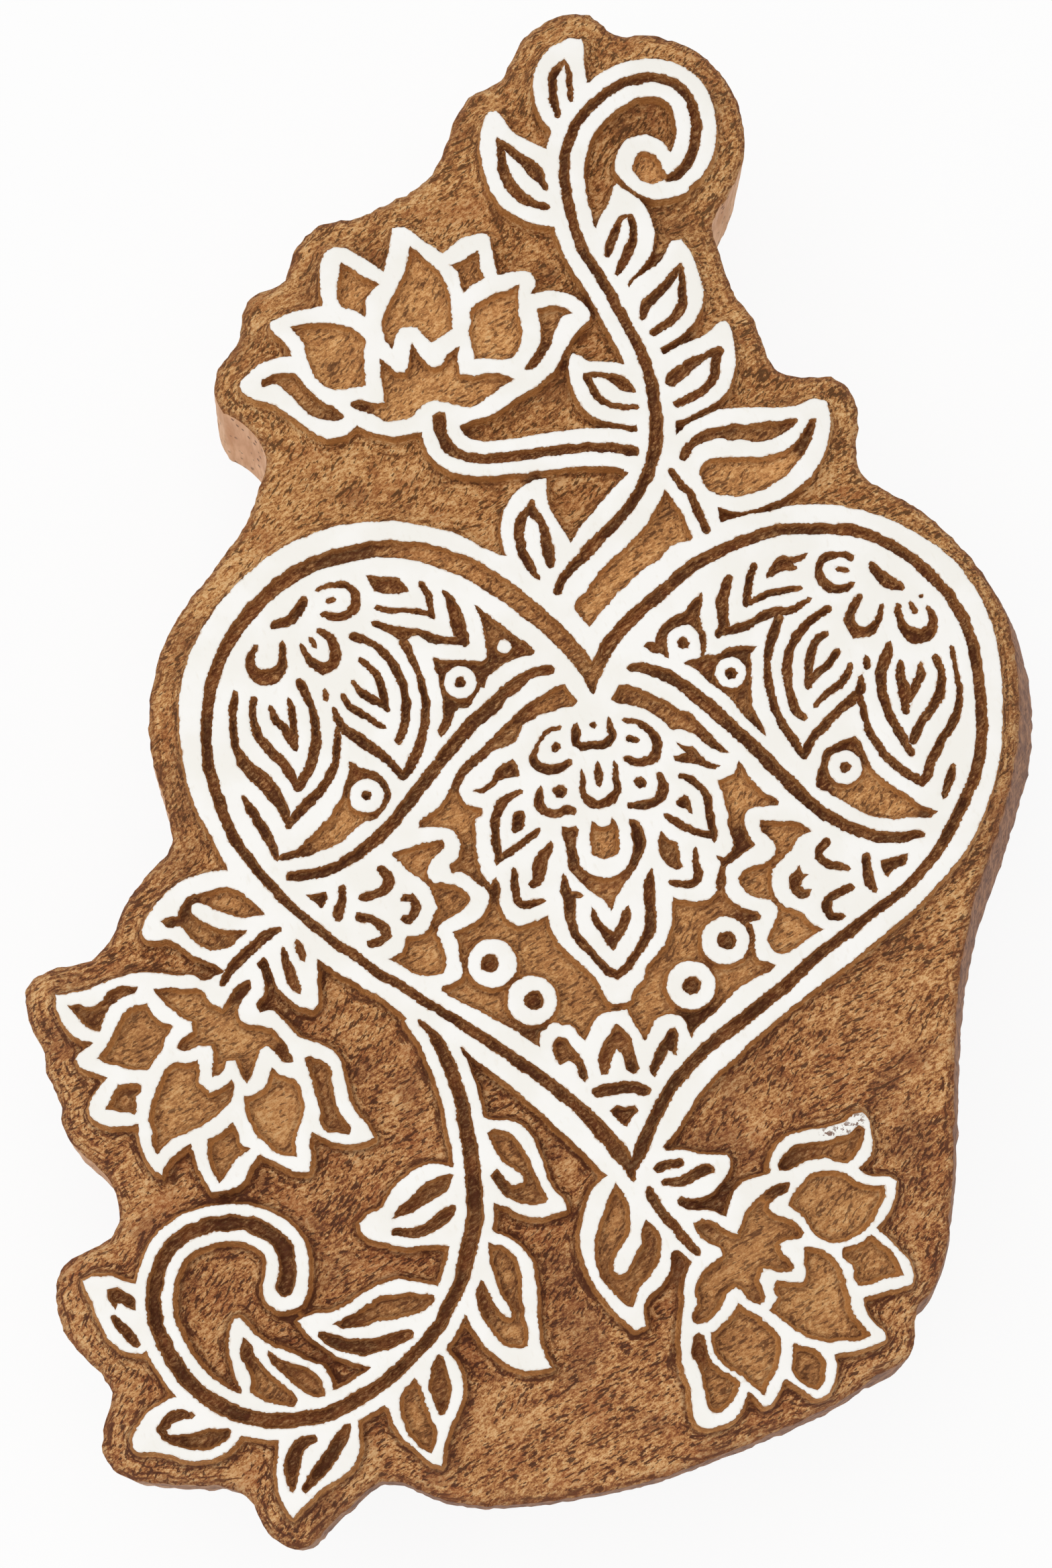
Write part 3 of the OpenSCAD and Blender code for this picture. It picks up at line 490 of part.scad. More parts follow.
// Cuts in the field between the crossing lines, round the eight-petalled flower
field_cuts = [
    cut(loops = [
        [[7.1, 12.1], [5.4, 14.4], [4, 14.1], [2.7, 13.3], [1.2, 12.2], [-0.3, 11.4], [-2.1, 9.6],
            [-3.6, 8.1], [-5.1, 6.4], [-7, 4.7], [-8.9, 2.8], [-10.2, 0.9], [-10.7, -0.8], [-9.6, -0.5],
            [-8.9, 1.1], [-7.4, 2.6], [-6, 3.7], [-4.9, 4.8], [-3.6, 5.5], [-1.9, 6.1], [-1.2, 7.1],
            [-0.6, 8.5], [1.2, 9.8], [2.7, 10.5], [4.9, 11.1], [6.7, 11.5]],
        [[-10.7, -0.5], [-11.5, -2], [-12.8, -3.6], [-14.9, -5.2, 1], [-14.9, -6.1, 1], [-12.8, -5.9],
            [-10.8, -6.2], [-9.6, -7.5], [-9.2, -9.1], [-9.6, -10.6], [-10.8, -11.5, 1], [-10.5, -12.3],
            [-8.9, -12.4], [-7.3, -13.6], [-6, -14.5], [-5.2, -15.8], [-5.2, -17.4], [-4.5, -18],
            [-3.6, -17.5], [-3.9, -16.1], [-3.8, -14.5], [-4.4, -13.2], [-5.1, -14.2], [-6.3, -12.6],
            [-7, -10.4], [-7.2, -7.8], [-7.2, -5], [-6.4, -4.2], [-6.3, -3.4], [-8.3, -3], [-9.2, -1.7],
            [-9.6, -0.4]],
        [[-5.2, -16.8], [-5.6, -17.7], [-6.8, -19.2], [-8, -20], [-10.2, -21, 1], [-9.5, -22.7],
            [-9.3, -24.3], [-9, -26], [-9, -27.2], [-9.8, -27.9], [-11.7, -28.6], [-11.8, -29.2, 1],
            [-10, -30.2], [-8.5, -31], [-6.8, -31.8], [-4.1, -33.3], [-1.2, -34.9], [0.9, -36.3],
            [1.8, -37, 1], [1.8, -34.9], [2.7, -34.4], [3.5, -33.6], [5, -33.8], [6.5, -34.2], [7.1, -35],
            [8, -36, 1], [8.7, -34.8], [9.4, -33.1], [10.6, -32.2], [12.4, -32], [14.6, -31.6],
            [14.5, -30.6], [13.6, -31], [12.1, -31], [10.9, -30.1], [10, -28.3], [8.8, -26.6], [6.8, -24.8],
            [4.7, -22.8], [3.4, -20.7], [2.9, -18.6, 1], [1.8, -19.1], [0, -19.8], [-1.8, -19.8],
            [-3.2, -18.6], [-3.7, -16.9]],
        [[14.4, -30.6], [15, -28.9], [16.2, -27.7], [16.8, -25.7], [18.3, -23.9], [19.5, -22.2],
            [20.2, -19.8], [20.5, -17.7], [20.4, -16, 1], [22.1, -16.4], [23.9, -16.5], [25.7, -16.1],
            [26.7, -15], [27.9, -15.2], [28.4, -16], [29.2, -16.9], [30.7, -17.7], [32.3, -17.9],
            [32.8, -18.5], [32.2, -19.1], [31, -19.2], [31.6, -20.3], [31.8, -22.9], [32.1, -24.3],
            [33, -25], [34.6, -25.4], [34.2, -25.9], [32.5, -26.9], [30.1, -28.3], [27.7, -30.4],
            [25.4, -32.8], [23.6, -34.2], [23, -35.7, 1], [22.4, -34.2], [21.8, -33], [20.7, -32.3],
            [19.2, -32.5], [17.7, -33.4], [17.1, -34.8], [16.4, -36.1, 1], [15.8, -34.8], [15, -33.6],
            [14, -31.7]],
        [[30, 3.6, 1], [29.4, 2.1], [28.1, 1.2], [27, 0.7], [27.8, -1.4], [28.1, -3], [28.4, -5.2],
            [28.8, -7.1], [29, -8.8], [27.8, -10.3], [26.5, -9.9, 1], [27.2, -11], [26.8, -12.6],
            [26.7, -14.8], [26.9, -15.6], [27.8, -15.6], [27.8, -13.6], [27.9, -11.5], [29.1, -10.7],
            [30, -9.8], [31, -9.1], [32.1, -8.4, 1], [31, -6.8], [30.5, -5.2], [30.7, -3.8], [32, -3],
            [33.9, -2.8], [35.3, -2.6], [35.2, -2], [33.2, -0.7], [31.6, 0.9], [30.8, 2.1]]],
        islands = [[-4.8, -25.3, 3.5], [0.75, -30.5, 3.55], [27.75, -22, 3.45], [22.9, -28.3, 3.5]]),
    cut(loops = [[[12, 12.4, 1], [13, 14.3], [13.5, 14.6], [15, 14.3], [17, 13.5], [19.5, 12.2],
        [21.8, 10.9], [23.3, 10.3], [24.5, 8.8], [26, 7.3], [27.3, 5.9], [28.4, 4.9, 1], [27.2, 5],
        [25.5, 6], [24.3, 7], [23, 8], [21.5, 8.3], [20.5, 8.2], [19.3, 9.4], [18, 10.3], [16.3, 11.2],
        [14.5, 11.9], [13, 11.9]]]),
    cut(loops = [[[21.2, 6.2, 1], [22.3, 5.6], [23.6, 5.5], [24.6, 4.3], [26, 3.2], [27.3, 3, 1],
        [26.2, 2.5], [24.5, 3], [22.8, 3.4], [20.9, 3.5], [20.8, 4.2], [22.4, 4.8]]]),
    cut(loops = [[[-1.9, 3.6, 1], [-1.4, 2.7], [-1, 1.4, 1], [-2.4, 1.1], [-3.8, 0.6], [-5.2, -0.6],
        [-6.3, -1.1], [-7.5, -0.8], [-6.2, -0.4], [-5, 0.4], [-4.4, 1.9], [-3.5, 2.9]]]),
    cut(strokes = [[[7.05, 8.9, 0.4], [6.9, 7.4, 1.2], [6.9, 6.3, 1.1], [7.7, 5.7, 1], [9.2, 5.8, 1.2],
        [11.2, 6.1, 1.4], [12.1, 7.2, 1], [11.7, 8.8, 0.7], [11.5, 9.8, 0.3]]]),
    cut(strokes = [[[4.7, 8.4, 0.5], [3.4, 8, 0.5], [2.3, 7.1, 0.5], [1.6, 5.9, 0.4], [1.2, 4.8, 0.7],
        [0.9, 4, 1.1], [1.4, 2.9, 1.3], [2.9, 2.3, 1.3], [4.4, 2.5, 1.2], [5.9, 3.3, 0.9]]]),
    cut(strokes = [[[13.9, 9.4, 0.5], [15.3, 9.2, 0.6], [16.9, 8.4, 1], [17.9, 7.4, 1.1], [18.4, 5.9, 1.4],
        [18.1, 4.4, 1.4], [17.1, 3.6, 1.3], [15.6, 3.4, 1], [14.2, 3.8, 1.1]]]),
    cut(strokes = [[[14.5, 6.8, 1], [15.6, 6.5, 0.7]]]),
    cut(strokes = [
        [[-0.8, -0.9, 0.6], [-2.3, -1.6, 1], [-3.7, -2.9, 1.2], [-4.4, -5, 1.2], [-4.4, -7.5, 1.1],
            [-4, -9.8, 1], [-4.2, -11.2, 0.6]],
        [[-4.1, -10.8, 0.8], [-2.5, -9.6, 0.9], [-0.5, -8.2, 0.9], [1, -7, 0.9], [1.8, -6.3, 0.5]]]),
    cut(strokes = [[[-1.1, -4.4, 1.7], [-1.2, -5.8, 1.4], [-1.7, -6.6, 0.6]]]),
    cut(strokes = [[[1.9, -0.3, 0.4], [1.7, -1.7, 1], [1.7, -2.6, 1.3], [2.7, -3.8, 1.2], [4.2, -4, 1],
        [5.8, -3.5, 1.2], [6.6, -3.7, 1]]]),
    cut(strokes = [[[7.7, 2.2, 0.3], [7.9, 0.5, 0.6], [7.9, -1.1, 0.8], [8.8, -2.3, 1.2], [10.1, -2.7, 1],
        [11.6, -2.1, 1.3], [12.8, -0.6, 1], [12.6, 1.1, 0.8], [12.3, 3.5, 0.3]]]),
    cut(strokes = [[[10, 3.3, 0.4], [10.1, 1.5, 1.1], [10.2, 0.1, 0.5]]]),
    cut(strokes = [[[18.7, 1.7, 0.6], [19.1, 0.5, 1.2], [19.1, -1.1, 1.4], [17.8, -2.4, 1.2],
        [16.2, -2.7, 1.2], [14.5, -2.8, 1]]]),
    cut(strokes = [
        [[21.6, 1.4, 0.5], [23.2, 0.9, 0.9], [24.5, -0.2, 0.8], [25.4, -1.7, 1], [25.7, -3.7, 1],
            [26, -5.6, 1.1], [26.4, -7.8, 0.5]],
        [[26, -7, 1], [24.3, -6.7, 1], [22.3, -5.9, 0.8], [20.4, -4.8, 0.9], [19.6, -4.1, 0.5]]]),
    cut(loops = [[[22.2, -1.3, 1], [22.9, -1.9], [23.1, -3.9], [22.3, -3.2], [21.1, -2.7], [21.2, -2.3]]]),
    cut(loops = [[[9.2, -5.2], [10.4, -6], [11.7, -5.7], [12, -4.8, 1], [12.5, -5.6], [13, -7.5], [13, -9],
        [12.3, -9.9], [10.5, -10.3], [9.3, -9.9], [9, -8], [9.1, -6.3]]]),
    cut(loops = [[[5, -6, 1], [5, -6.8], [5.6, -8.5], [5.7, -10.5], [6.2, -12], [7.3, -13.5], [8.7, -14.7],
        [10.4, -16], [11.8, -17.8, 1], [12.3, -16], [13.3, -14.3], [14.8, -12.4], [16, -10.5], [16.5, -8.5],
        [16.4, -6.5], [15.7, -5.3], [14.4, -4.8, 1], [14.7, -6.5], [14.9, -8.5], [14.8, -10.2],
        [13.9, -11.8], [12.8, -12.8], [10.5, -13.2], [8.6, -12.5], [7.4, -11.3], [7, -9.5], [6.9, -7.6],
        [7.2, -6.4], [6.8, -5.8], [6, -6.2]]]),
    cut(loops = [[[9.2, -17.4, 1], [10, -18.6], [11, -20.1], [12.2, -20.9], [12.9, -19.6], [13.4, -18.2],
        [14.2, -17.1, 1], [14.5, -18.6], [13.9, -20.3], [13, -22], [12.1, -23.5, 1], [11.2, -22.3],
        [10, -20.6], [9.1, -18.9]]]),
    cut(strokes = [
        [[5.1, -12.7, 0.3], [5.3, -14.3, 1], [6, -16.3, 1.7], [6.1, -18.5, 1.3], [6.5, -20.5, 1.1],
            [7.9, -22.6, 1], [9.6, -24.4, 1], [11.2, -26.2, 1], [12.7, -26.9, 1.3], [14, -25.8, 1.1],
            [15.2, -24, 1.1], [16.4, -22.2, 1.2], [17.3, -20.2, 1.4], [17.3, -18, 1.5], [17.2, -15.8, 1.5],
            [17.2, -13.8, 1.3], [17.4, -11.9, 0.3]],
        [[6.2, -15.6, 1.2], [7.6, -15.8, 0.6]]]),
    cut(loops = [[[18.8, -6.4, 1], [19.7, -7.6], [21, -8.3], [21.4, -9.8], [21.8, -11.5], [21, -11.8],
        [19.8, -11.4], [19, -10.2], [18.6, -8.5]]]),
    cut(loops = [[[3.4, -7.9, 1], [3.6, -9.2], [2.9, -11], [2.6, -12.8], [1.9, -14.1], [0.8, -14.7],
        [0.2, -14.1], [0.9, -13.2], [0.8, -11.4], [1.4, -10], [2.6, -8.8]]]),
    cut(strokes = [[[23.7, -9, 0.5], [23.7, -10.7, 0.8], [24, -12.4, 1.2], [23.6, -13.6, 1.2],
        [22.2, -14.1, 1], [20.2, -13.7, 0.5]]]),
    cut(strokes = [[[-1.8, -12.1, 0.7], [-1.6, -14.5, 0.9], [-1.3, -16.4, 1], [-0.3, -17.1, 1.1],
        [2.3, -16.5, 0.6]]])];

// Cuts along the lower sides of the heart and in the crown over its tip
heart_side_cuts = [
    cut(loops = [[[32.9, -4.8, 1], [35.5, -5], [38.3, -5.2], [40, -6.4, 1], [38.2, -7.2], [37.1, -9],
        [35.8, -10.3], [34.5, -11.9], [34.2, -13.6], [34.7, -15.3], [36.2, -17.2], [38.4, -18],
        [39.9, -19.5], [41.4, -20.4, 1], [39.6, -21.4], [37.8, -22.7], [36.3, -23.6], [34.5, -23.3],
        [33.8, -21.8], [34.6, -19.8], [35.2, -18.2], [34.6, -16.6], [32.5, -15.8], [30.4, -14.6],
        [29.7, -13.2], [31, -11.6], [33.3, -11], [34.7, -10], [35, -8.6], [33.8, -7], [32.8, -6]]]),
    cut(strokes = [[[42.2, -7.9, 1.1], [41.1, -9, 1.1], [41.2, -10.3, 1.1], [42.6, -11.1, 1],
        [44.8, -11.6, 1]]]),
    cut(loops = [[[38.3, -11.2, 1], [38.7, -12.2], [39.5, -12.5], [38.6, -13.3], [38.3, -14.2],
        [38.8, -14.8], [39.9, -14.7], [39.6, -15.4], [38.8, -15.9], [37.5, -15.5], [36.9, -14.2],
        [36.9, -12.9], [37.8, -12.2]]]),
    cut(strokes = [[[45.5, -14.4, 1], [43.9, -15, 1], [42.5, -16, 1.3], [42, -17.3, 1.4],
        [42.6, -18.5, 1.2], [44.2, -18.5, 0.8]]]),
    cut(strokes = [[[47.7, -9.9, 1], [47.8, -12, 1.2], [48.1, -13.5, 1.4], [48.7, -14.6, 0.9]]]),
    cut(loops = [[[53.5, -9.6, 1], [52.3, -9.9], [50.7, -10.3], [49.7, -10.6], [50, -12], [50.6, -12.9, 1],
        [51.5, -11.9], [53.2, -10.9]]]),
    cut(loops = [[[-18.9, -9.9, 1], [-17, -9.3], [-15, -8.6], [-13, -8.1], [-11.6, -8.2], [-11.6, -9],
        [-12.6, -9.9], [-13.5, -11], [-14, -12.3], [-13.1, -13.9], [-11.4, -14.2], [-9.8, -14.5],
        [-8.3, -15.5], [-7.9, -16.4], [-9, -17.8], [-10.6, -18.7], [-12.1, -19.6], [-12.6, -21.2],
        [-11.9, -22.6], [-11.4, -24.3], [-11.2, -25.6], [-11.9, -26.7], [-13.9, -27.1], [-16, -26.5],
        [-17.6, -25.4], [-19.2, -24.7, 1], [-17.5, -23.8], [-17, -22.6], [-16.6, -21.6], [-15.2, -21.5],
        [-13.9, -20.8], [-13.3, -19.5], [-12.8, -18.4], [-12.4, -17.4], [-13, -16], [-13.6, -14.6],
        [-15, -13.2], [-16.4, -12.4], [-17.5, -11.2]]]),
    cut(strokes = [[[-20.4, -12.1, 1.1], [-19.4, -13.2, 1.4], [-19.6, -14.6, 1.4], [-21.2, -15.7, 1],
        [-23, -16.1, 1]]]),
    cut(loops = [[[-17.5, -16.6, 1], [-17.3, -15.8], [-16, -15.4], [-15.3, -16.2], [-15, -17.6],
        [-15.4, -19], [-16.6, -19.8], [-17.6, -19.2], [-17.4, -18.6], [-16.4, -18.5], [-16.1, -17.6],
        [-16.2, -16.6]]]),
    cut(strokes = [[[-23.4, -18.9, 1.2], [-21.5, -19.3, 1.2], [-20, -20.3, 1.4], [-19.5, -21.4, 1.4],
        [-20.4, -22.3, 1.1], [-21.8, -22.6, 1]]]),
    cut(strokes = [[[-25.7, -14.8, 1], [-25.9, -16.6, 1.1], [-26.2, -18, 1.5], [-26.2, -19.1, 1]]]),
    cut(loops = [[[-30.8, -15.8, 1], [-29.5, -15.7], [-28, -15.4], [-28, -16.3], [-28.7, -17.6, 1],
        [-29.4, -16.9]]]),
    cut(loops = [[[4.4, -35.6], [5.5, -36], [6.6, -37.4], [7.7, -39], [8.4, -40.9], [8.1, -41.9, 1],
        [7.4, -41], [6.9, -39.6], [5.9, -38.8], [4.7, -39.4, 1], [3.9, -38.2], [3.7, -36.5]]]),
    cut(loops = [[[12.5, -33.8, 1], [11.7, -35], [10.6, -36.6], [10, -38.7], [10.3, -40.8], [11.2, -40.6],
        [11.8, -38.6], [12.4, -37.1], [13.3, -38.1], [13.9, -40], [14.8, -40.6], [15.5, -40], [15, -38],
        [14.4, -35.9], [13.5, -34.6]]]),
    cut(loops = [[[20.6, -34.2, 1], [21, -35.8], [20.8, -38, 1], [19.6, -37.3], [18.9, -38.6],
        [18.2, -40.2], [17.6, -41.2], [17.2, -40], [17.6, -38.5], [18.3, -37], [19.1, -35.8],
        [19.7, -34.6]]]),
    cut(strokes = [[[9.6, -43.3, 1.2], [11.5, -42.9, 1.6], [13.8, -42.6, 1.6], [15.6, -42.8, 1.5],
        [16.7, -43, 1.1]]]),
    cut(loops = [[[11.7, -45.9], [12.6, -45.2], [13.8, -45.4], [14.9, -45.1], [15.4, -45.9], [14.5, -46.8],
        [13.7, -48.1, 1], [12.8, -47.3]]])];

// Cuts in the leaf, the bud and the lotus left of the heart
left_lotus_cuts = [
    cut(loops = [[[-50.9, -19.6, 1], [-50, -19], [-48.6, -18.8], [-48.1, -17.4], [-47.2, -16.2],
        [-45, -15.4], [-41.3, -14.9], [-39.4, -15.8], [-38, -17.2], [-36.7, -18.5, 1], [-38.5, -18.8],
        [-41.3, -18.6], [-43.5, -17.8], [-45.6, -16.9], [-46.9, -17.2], [-46.6, -18.6], [-44.6, -20],
        [-42, -20.8], [-39, -20.9, 1], [-40.3, -22], [-41.3, -23], [-43, -23.5], [-45, -23.2],
        [-46.7, -21.8], [-48.3, -20.3], [-50, -20.4]]]),
    cut(strokes = [[[-34.4, -20.6, 0.5], [-36, -21.3, 1.2], [-37.8, -22.8, 1.4], [-39.8, -24.8, 1.4],
        [-41.4, -26.5, 1.2], [-42.4, -28.6, 0.5]]]),
    cut(strokes = [[[-32, -22.3, 0.4], [-31.6, -23.4, 1], [-31.1, -24.9, 0.5]]]),
    cut(strokes = [[[-33.9, -23.3, 0.5], [-33.6, -24.8, 0.9], [-33, -26.7, 1.4], [-32.3, -28.3, 1.3],
        [-31.6, -29.6, 0.4]]]),
    cut(loops = [[[-63.5, -31.5, 1], [-62.2, -31.3], [-60.6, -31.8], [-59.3, -31.1], [-58, -29.6],
        [-56.2, -28.8], [-54, -28.8], [-54.5, -29.6], [-56.5, -30.4], [-58, -31.7], [-58.7, -33.3],
        [-59.3, -35, 1], [-61, -34.3], [-62.3, -33]]]),
    cut(loops = [[[-52.9, -31.2, 1], [-52, -32.4], [-50.6, -33.8], [-49.1, -34.3, 1], [-50.1, -35.8],
        [-50.6, -37.6], [-51.8, -39.1], [-52.5, -40.4, 1], [-55, -40.2], [-57.5, -39.6], [-59.5, -38.8],
        [-58.4, -37.5], [-57.4, -35.7], [-56.5, -33.6], [-55.3, -32]]]),
    cut(loops = [[[-53.6, -42.3, 1], [-55, -42.4], [-56.6, -42.6], [-57.2, -44], [-58.1, -45.9, 1],
        [-56.5, -46], [-54.1, -46.5, 1], [-53.9, -45], [-54, -44], [-53.3, -43.2]]]),
    cut(loops = [[[-48.9, -39.4], [-47, -39.6], [-45.6, -39.1, 1], [-45.3, -40.8], [-45.2, -42.3],
        [-43.8, -43.5], [-42.3, -43], [-40.8, -41.8, 1], [-40.5, -43], [-41.3, -45], [-43.6, -47.2],
        [-46.4, -48.8], [-49, -49.8], [-50.9, -52.1, 1], [-51.6, -50.5], [-51.7, -48.8], [-52.1, -47.5],
        [-51.6, -44.5], [-50.7, -41.8]]]),
    cut(loops = [[[-35.3, -40, 1], [-34.2, -41.1], [-32.5, -41.5], [-31.3, -42.8], [-30.9, -45],
        [-31.2, -47.5], [-31.9, -50], [-31.8, -52.3, 1], [-33.8, -52], [-35.8, -50.7], [-37.4, -48.9],
        [-38.6, -46.5], [-39.1, -44, 1], [-37.6, -43.8], [-36.2, -42.7]]]),
    cut(loops = [[[-40.6, -47.7, 1], [-39.9, -49.2], [-39.3, -50.7], [-38.2, -51.3, 1], [-39.8, -52.3],
        [-41, -54], [-42.3, -56, 1], [-43.3, -54], [-43.9, -52], [-44, -50], [-42.3, -49.3]]]),
    cut(loops = [[[-51.8, -29.1, 1], [-49.5, -29], [-47, -29.1], [-45.3, -29.3], [-44, -30.8], [-42.2, -32],
        [-41.5, -30.6], [-40.5, -29], [-38.5, -27.8, 1], [-38.4, -28.9], [-39.6, -30.4], [-40.1, -32.6],
        [-39.2, -33.9], [-37, -34.2], [-35.2, -34.8], [-33.7, -36.5], [-32.3, -39.2, 1], [-33.6, -39.2],
        [-34.8, -37.8], [-36, -36.9], [-37.1, -37.6], [-37.5, -39.8], [-38.8, -42.1, 1], [-39.8, -40.2],
        [-40.4, -39], [-41.6, -39.2], [-42, -40.4], [-43.6, -41.4, 1], [-43.3, -39.8], [-43.4, -38],
        [-43.7, -36.9], [-45.5, -36.9], [-47.3, -37.6], [-48.4, -37.3, 1], [-47.6, -35.9], [-46.3, -35.1],
        [-46.4, -33.6], [-48, -32.8], [-49.8, -31.4]]]),
    cut(loops = [[[-30.6, -38.7], [-30, -38.6], [-28.3, -39.2], [-27.2, -40.2], [-26.9, -42.5],
        [-26.3, -45.3], [-25.5, -46.8], [-24.3, -48.4], [-24.5, -49.2], [-26.3, -48.9], [-27.6, -49],
        [-28.4, -47.8], [-28.5, -46], [-29.3, -43.4], [-30, -41]]])];

// Cuts in the lower vine and its leaves
lower_cuts = [
    cut(strokes = [groove_of(lower_vine)]),
    cut(loops = [[[-57.4, -70.7], [-56, -70.4], [-54.6, -71], [-53.6, -72.2], [-53.5, -73.3],
        [-54.6, -72.9], [-56, -72.4], [-56.3, -73.3], [-57, -72.2]]]),
    cut(strokes = [[[-56.5, -74.4, 0.7], [-55.6, -75.4, 1.2], [-54.3, -76.8, 1.4], [-53.1, -77.9, 0.9]]]),
    cut(strokes = [[[-45.4, -87.7, 0.6], [-47, -87.4, 1.4], [-48.7, -88.2, 1.3], [-49.7, -89.5, 1.2],
        [-48.8, -90.6, 1], [-46.8, -91, 1.6], [-44.3, -91, 2.5], [-42.2, -90.5, 2.3],
        [-40.9, -90.1, 1.4]]]),
    cut(strokes = [[[-29, -90.7, 1], [-30.4, -91.2, 1.6], [-31.5, -92.8, 2], [-31.9, -94.7, 2],
        [-31.9, -96.3, 1.4], [-31.8, -97.6, 0.5]]]),
    cut(strokes = [[[-24.4, -89.2, 1], [-25.3, -90.8, 1.8], [-26.6, -93, 1.8], [-28.3, -95.2, 1.6],
        [-30, -97.3, 1]]]),
    cut(loops = [[[-15.3, -82.7, 1], [-14.3, -84], [-13.9, -86], [-12.9, -88], [-12.3, -90], [-12.3, -91.3],
        [-13, -92.6, 1], [-14.7, -91.5], [-16.3, -89.5], [-17.1, -87], [-17.2, -84.9]]]),
    cut(strokes = [[[-11.9, -79.9, 1], [-12, -81.5, 2.2], [-11.8, -83.6, 2.8], [-11.6, -85.6, 2.2],
        [-11.5, -87.3, 0.8]]]),
    cut(loops = [[[-38.7, -76.9, 1], [-37.6, -78.3], [-37, -79.6], [-35.9, -80.9], [-33.9, -82.9],
        [-31.9, -84.5], [-31.2, -85.5], [-31.9, -86.3], [-34, -86], [-36.2, -85.3], [-37.5, -84.3],
        [-37.6, -82.6], [-38.3, -81], [-39, -79.3]]]),
    cut(loops = [[[-35.4, -78.9, 1], [-34, -79.8], [-32, -80.6], [-30.3, -81], [-28.7, -82], [-27.8, -83.3],
        [-27.5, -85], [-28.7, -85.1], [-30.5, -84.2], [-32, -83], [-33.5, -81.7], [-35, -80.3]]]),
    cut(loops = [[[-26.4, -75.2, 1], [-25.5, -74.7], [-23.8, -74], [-22.3, -73], [-20.3, -71.6],
        [-18, -71.2], [-15.5, -71], [-12.7, -71.3], [-12.6, -72.2], [-14.5, -73.4], [-17, -74.2],
        [-20, -74.8], [-22.5, -75.4], [-24.5, -75.8]]]),
    cut(strokes = [[[-28.2, -76.5, 0.7], [-26.8, -77.4, 1.5], [-24.5, -78.1, 1.8], [-22, -78.3, 2],
        [-19.5, -77.8, 1.9], [-17.3, -77, 1.6], [-16, -76.6, 1.1]]]),
    cut(loops = [[[-18.4, -60.8, 1], [-17.6, -59.3], [-16.5, -58.5], [-15, -57], [-13.5, -55.7], [-12, -55],
        [-10.2, -54.9], [-10.9, -56.8], [-12.5, -57.9], [-14.2, -59], [-16, -59.9]]]),
    cut(strokes = [[[-18.2, -62.6, 0.9], [-16.5, -62.8, 1], [-14.5, -62.5, 1.3], [-12.6, -61.5, 1.6],
        [-11, -60.2, 1.8], [-10.2, -59.4, 0.9]]]),
    cut(loops = [[[-5.4, -49, 1], [-4.5, -48.6], [-2.6, -48.9], [-1, -50.6], [0.3, -52.8], [1.4, -55.2],
        [2.9, -58, 1], [2.3, -58.7], [-0.2, -58.7], [-2.6, -57.9], [-4.1, -56.3], [-4.8, -54.9],
        [-4.2, -54, 1], [-3.3, -55.1], [-1.8, -56.2], [-0.4, -56], [-0.5, -54.9], [-1.6, -54],
        [-3.3, -52.9], [-4.3, -51.3]]]),
    cut(loops = [[[-5.1, -64.2, 1], [-3.4, -64.7], [-1.5, -66.1], [-0.8, -69], [-0.6, -72.3], [0, -75.6],
        [0.1, -77.8], [-0.8, -78.5], [-3, -77.9], [-5, -76], [-6.4, -73.6], [-6.9, -71.4], [-6.2, -69.2, 1],
        [-5.3, -70.8], [-4.3, -72.7], [-3.2, -74], [-2, -74.4], [-2.3, -73.2], [-3.3, -71.4], [-4.3, -69],
        [-5, -66.6]]])];

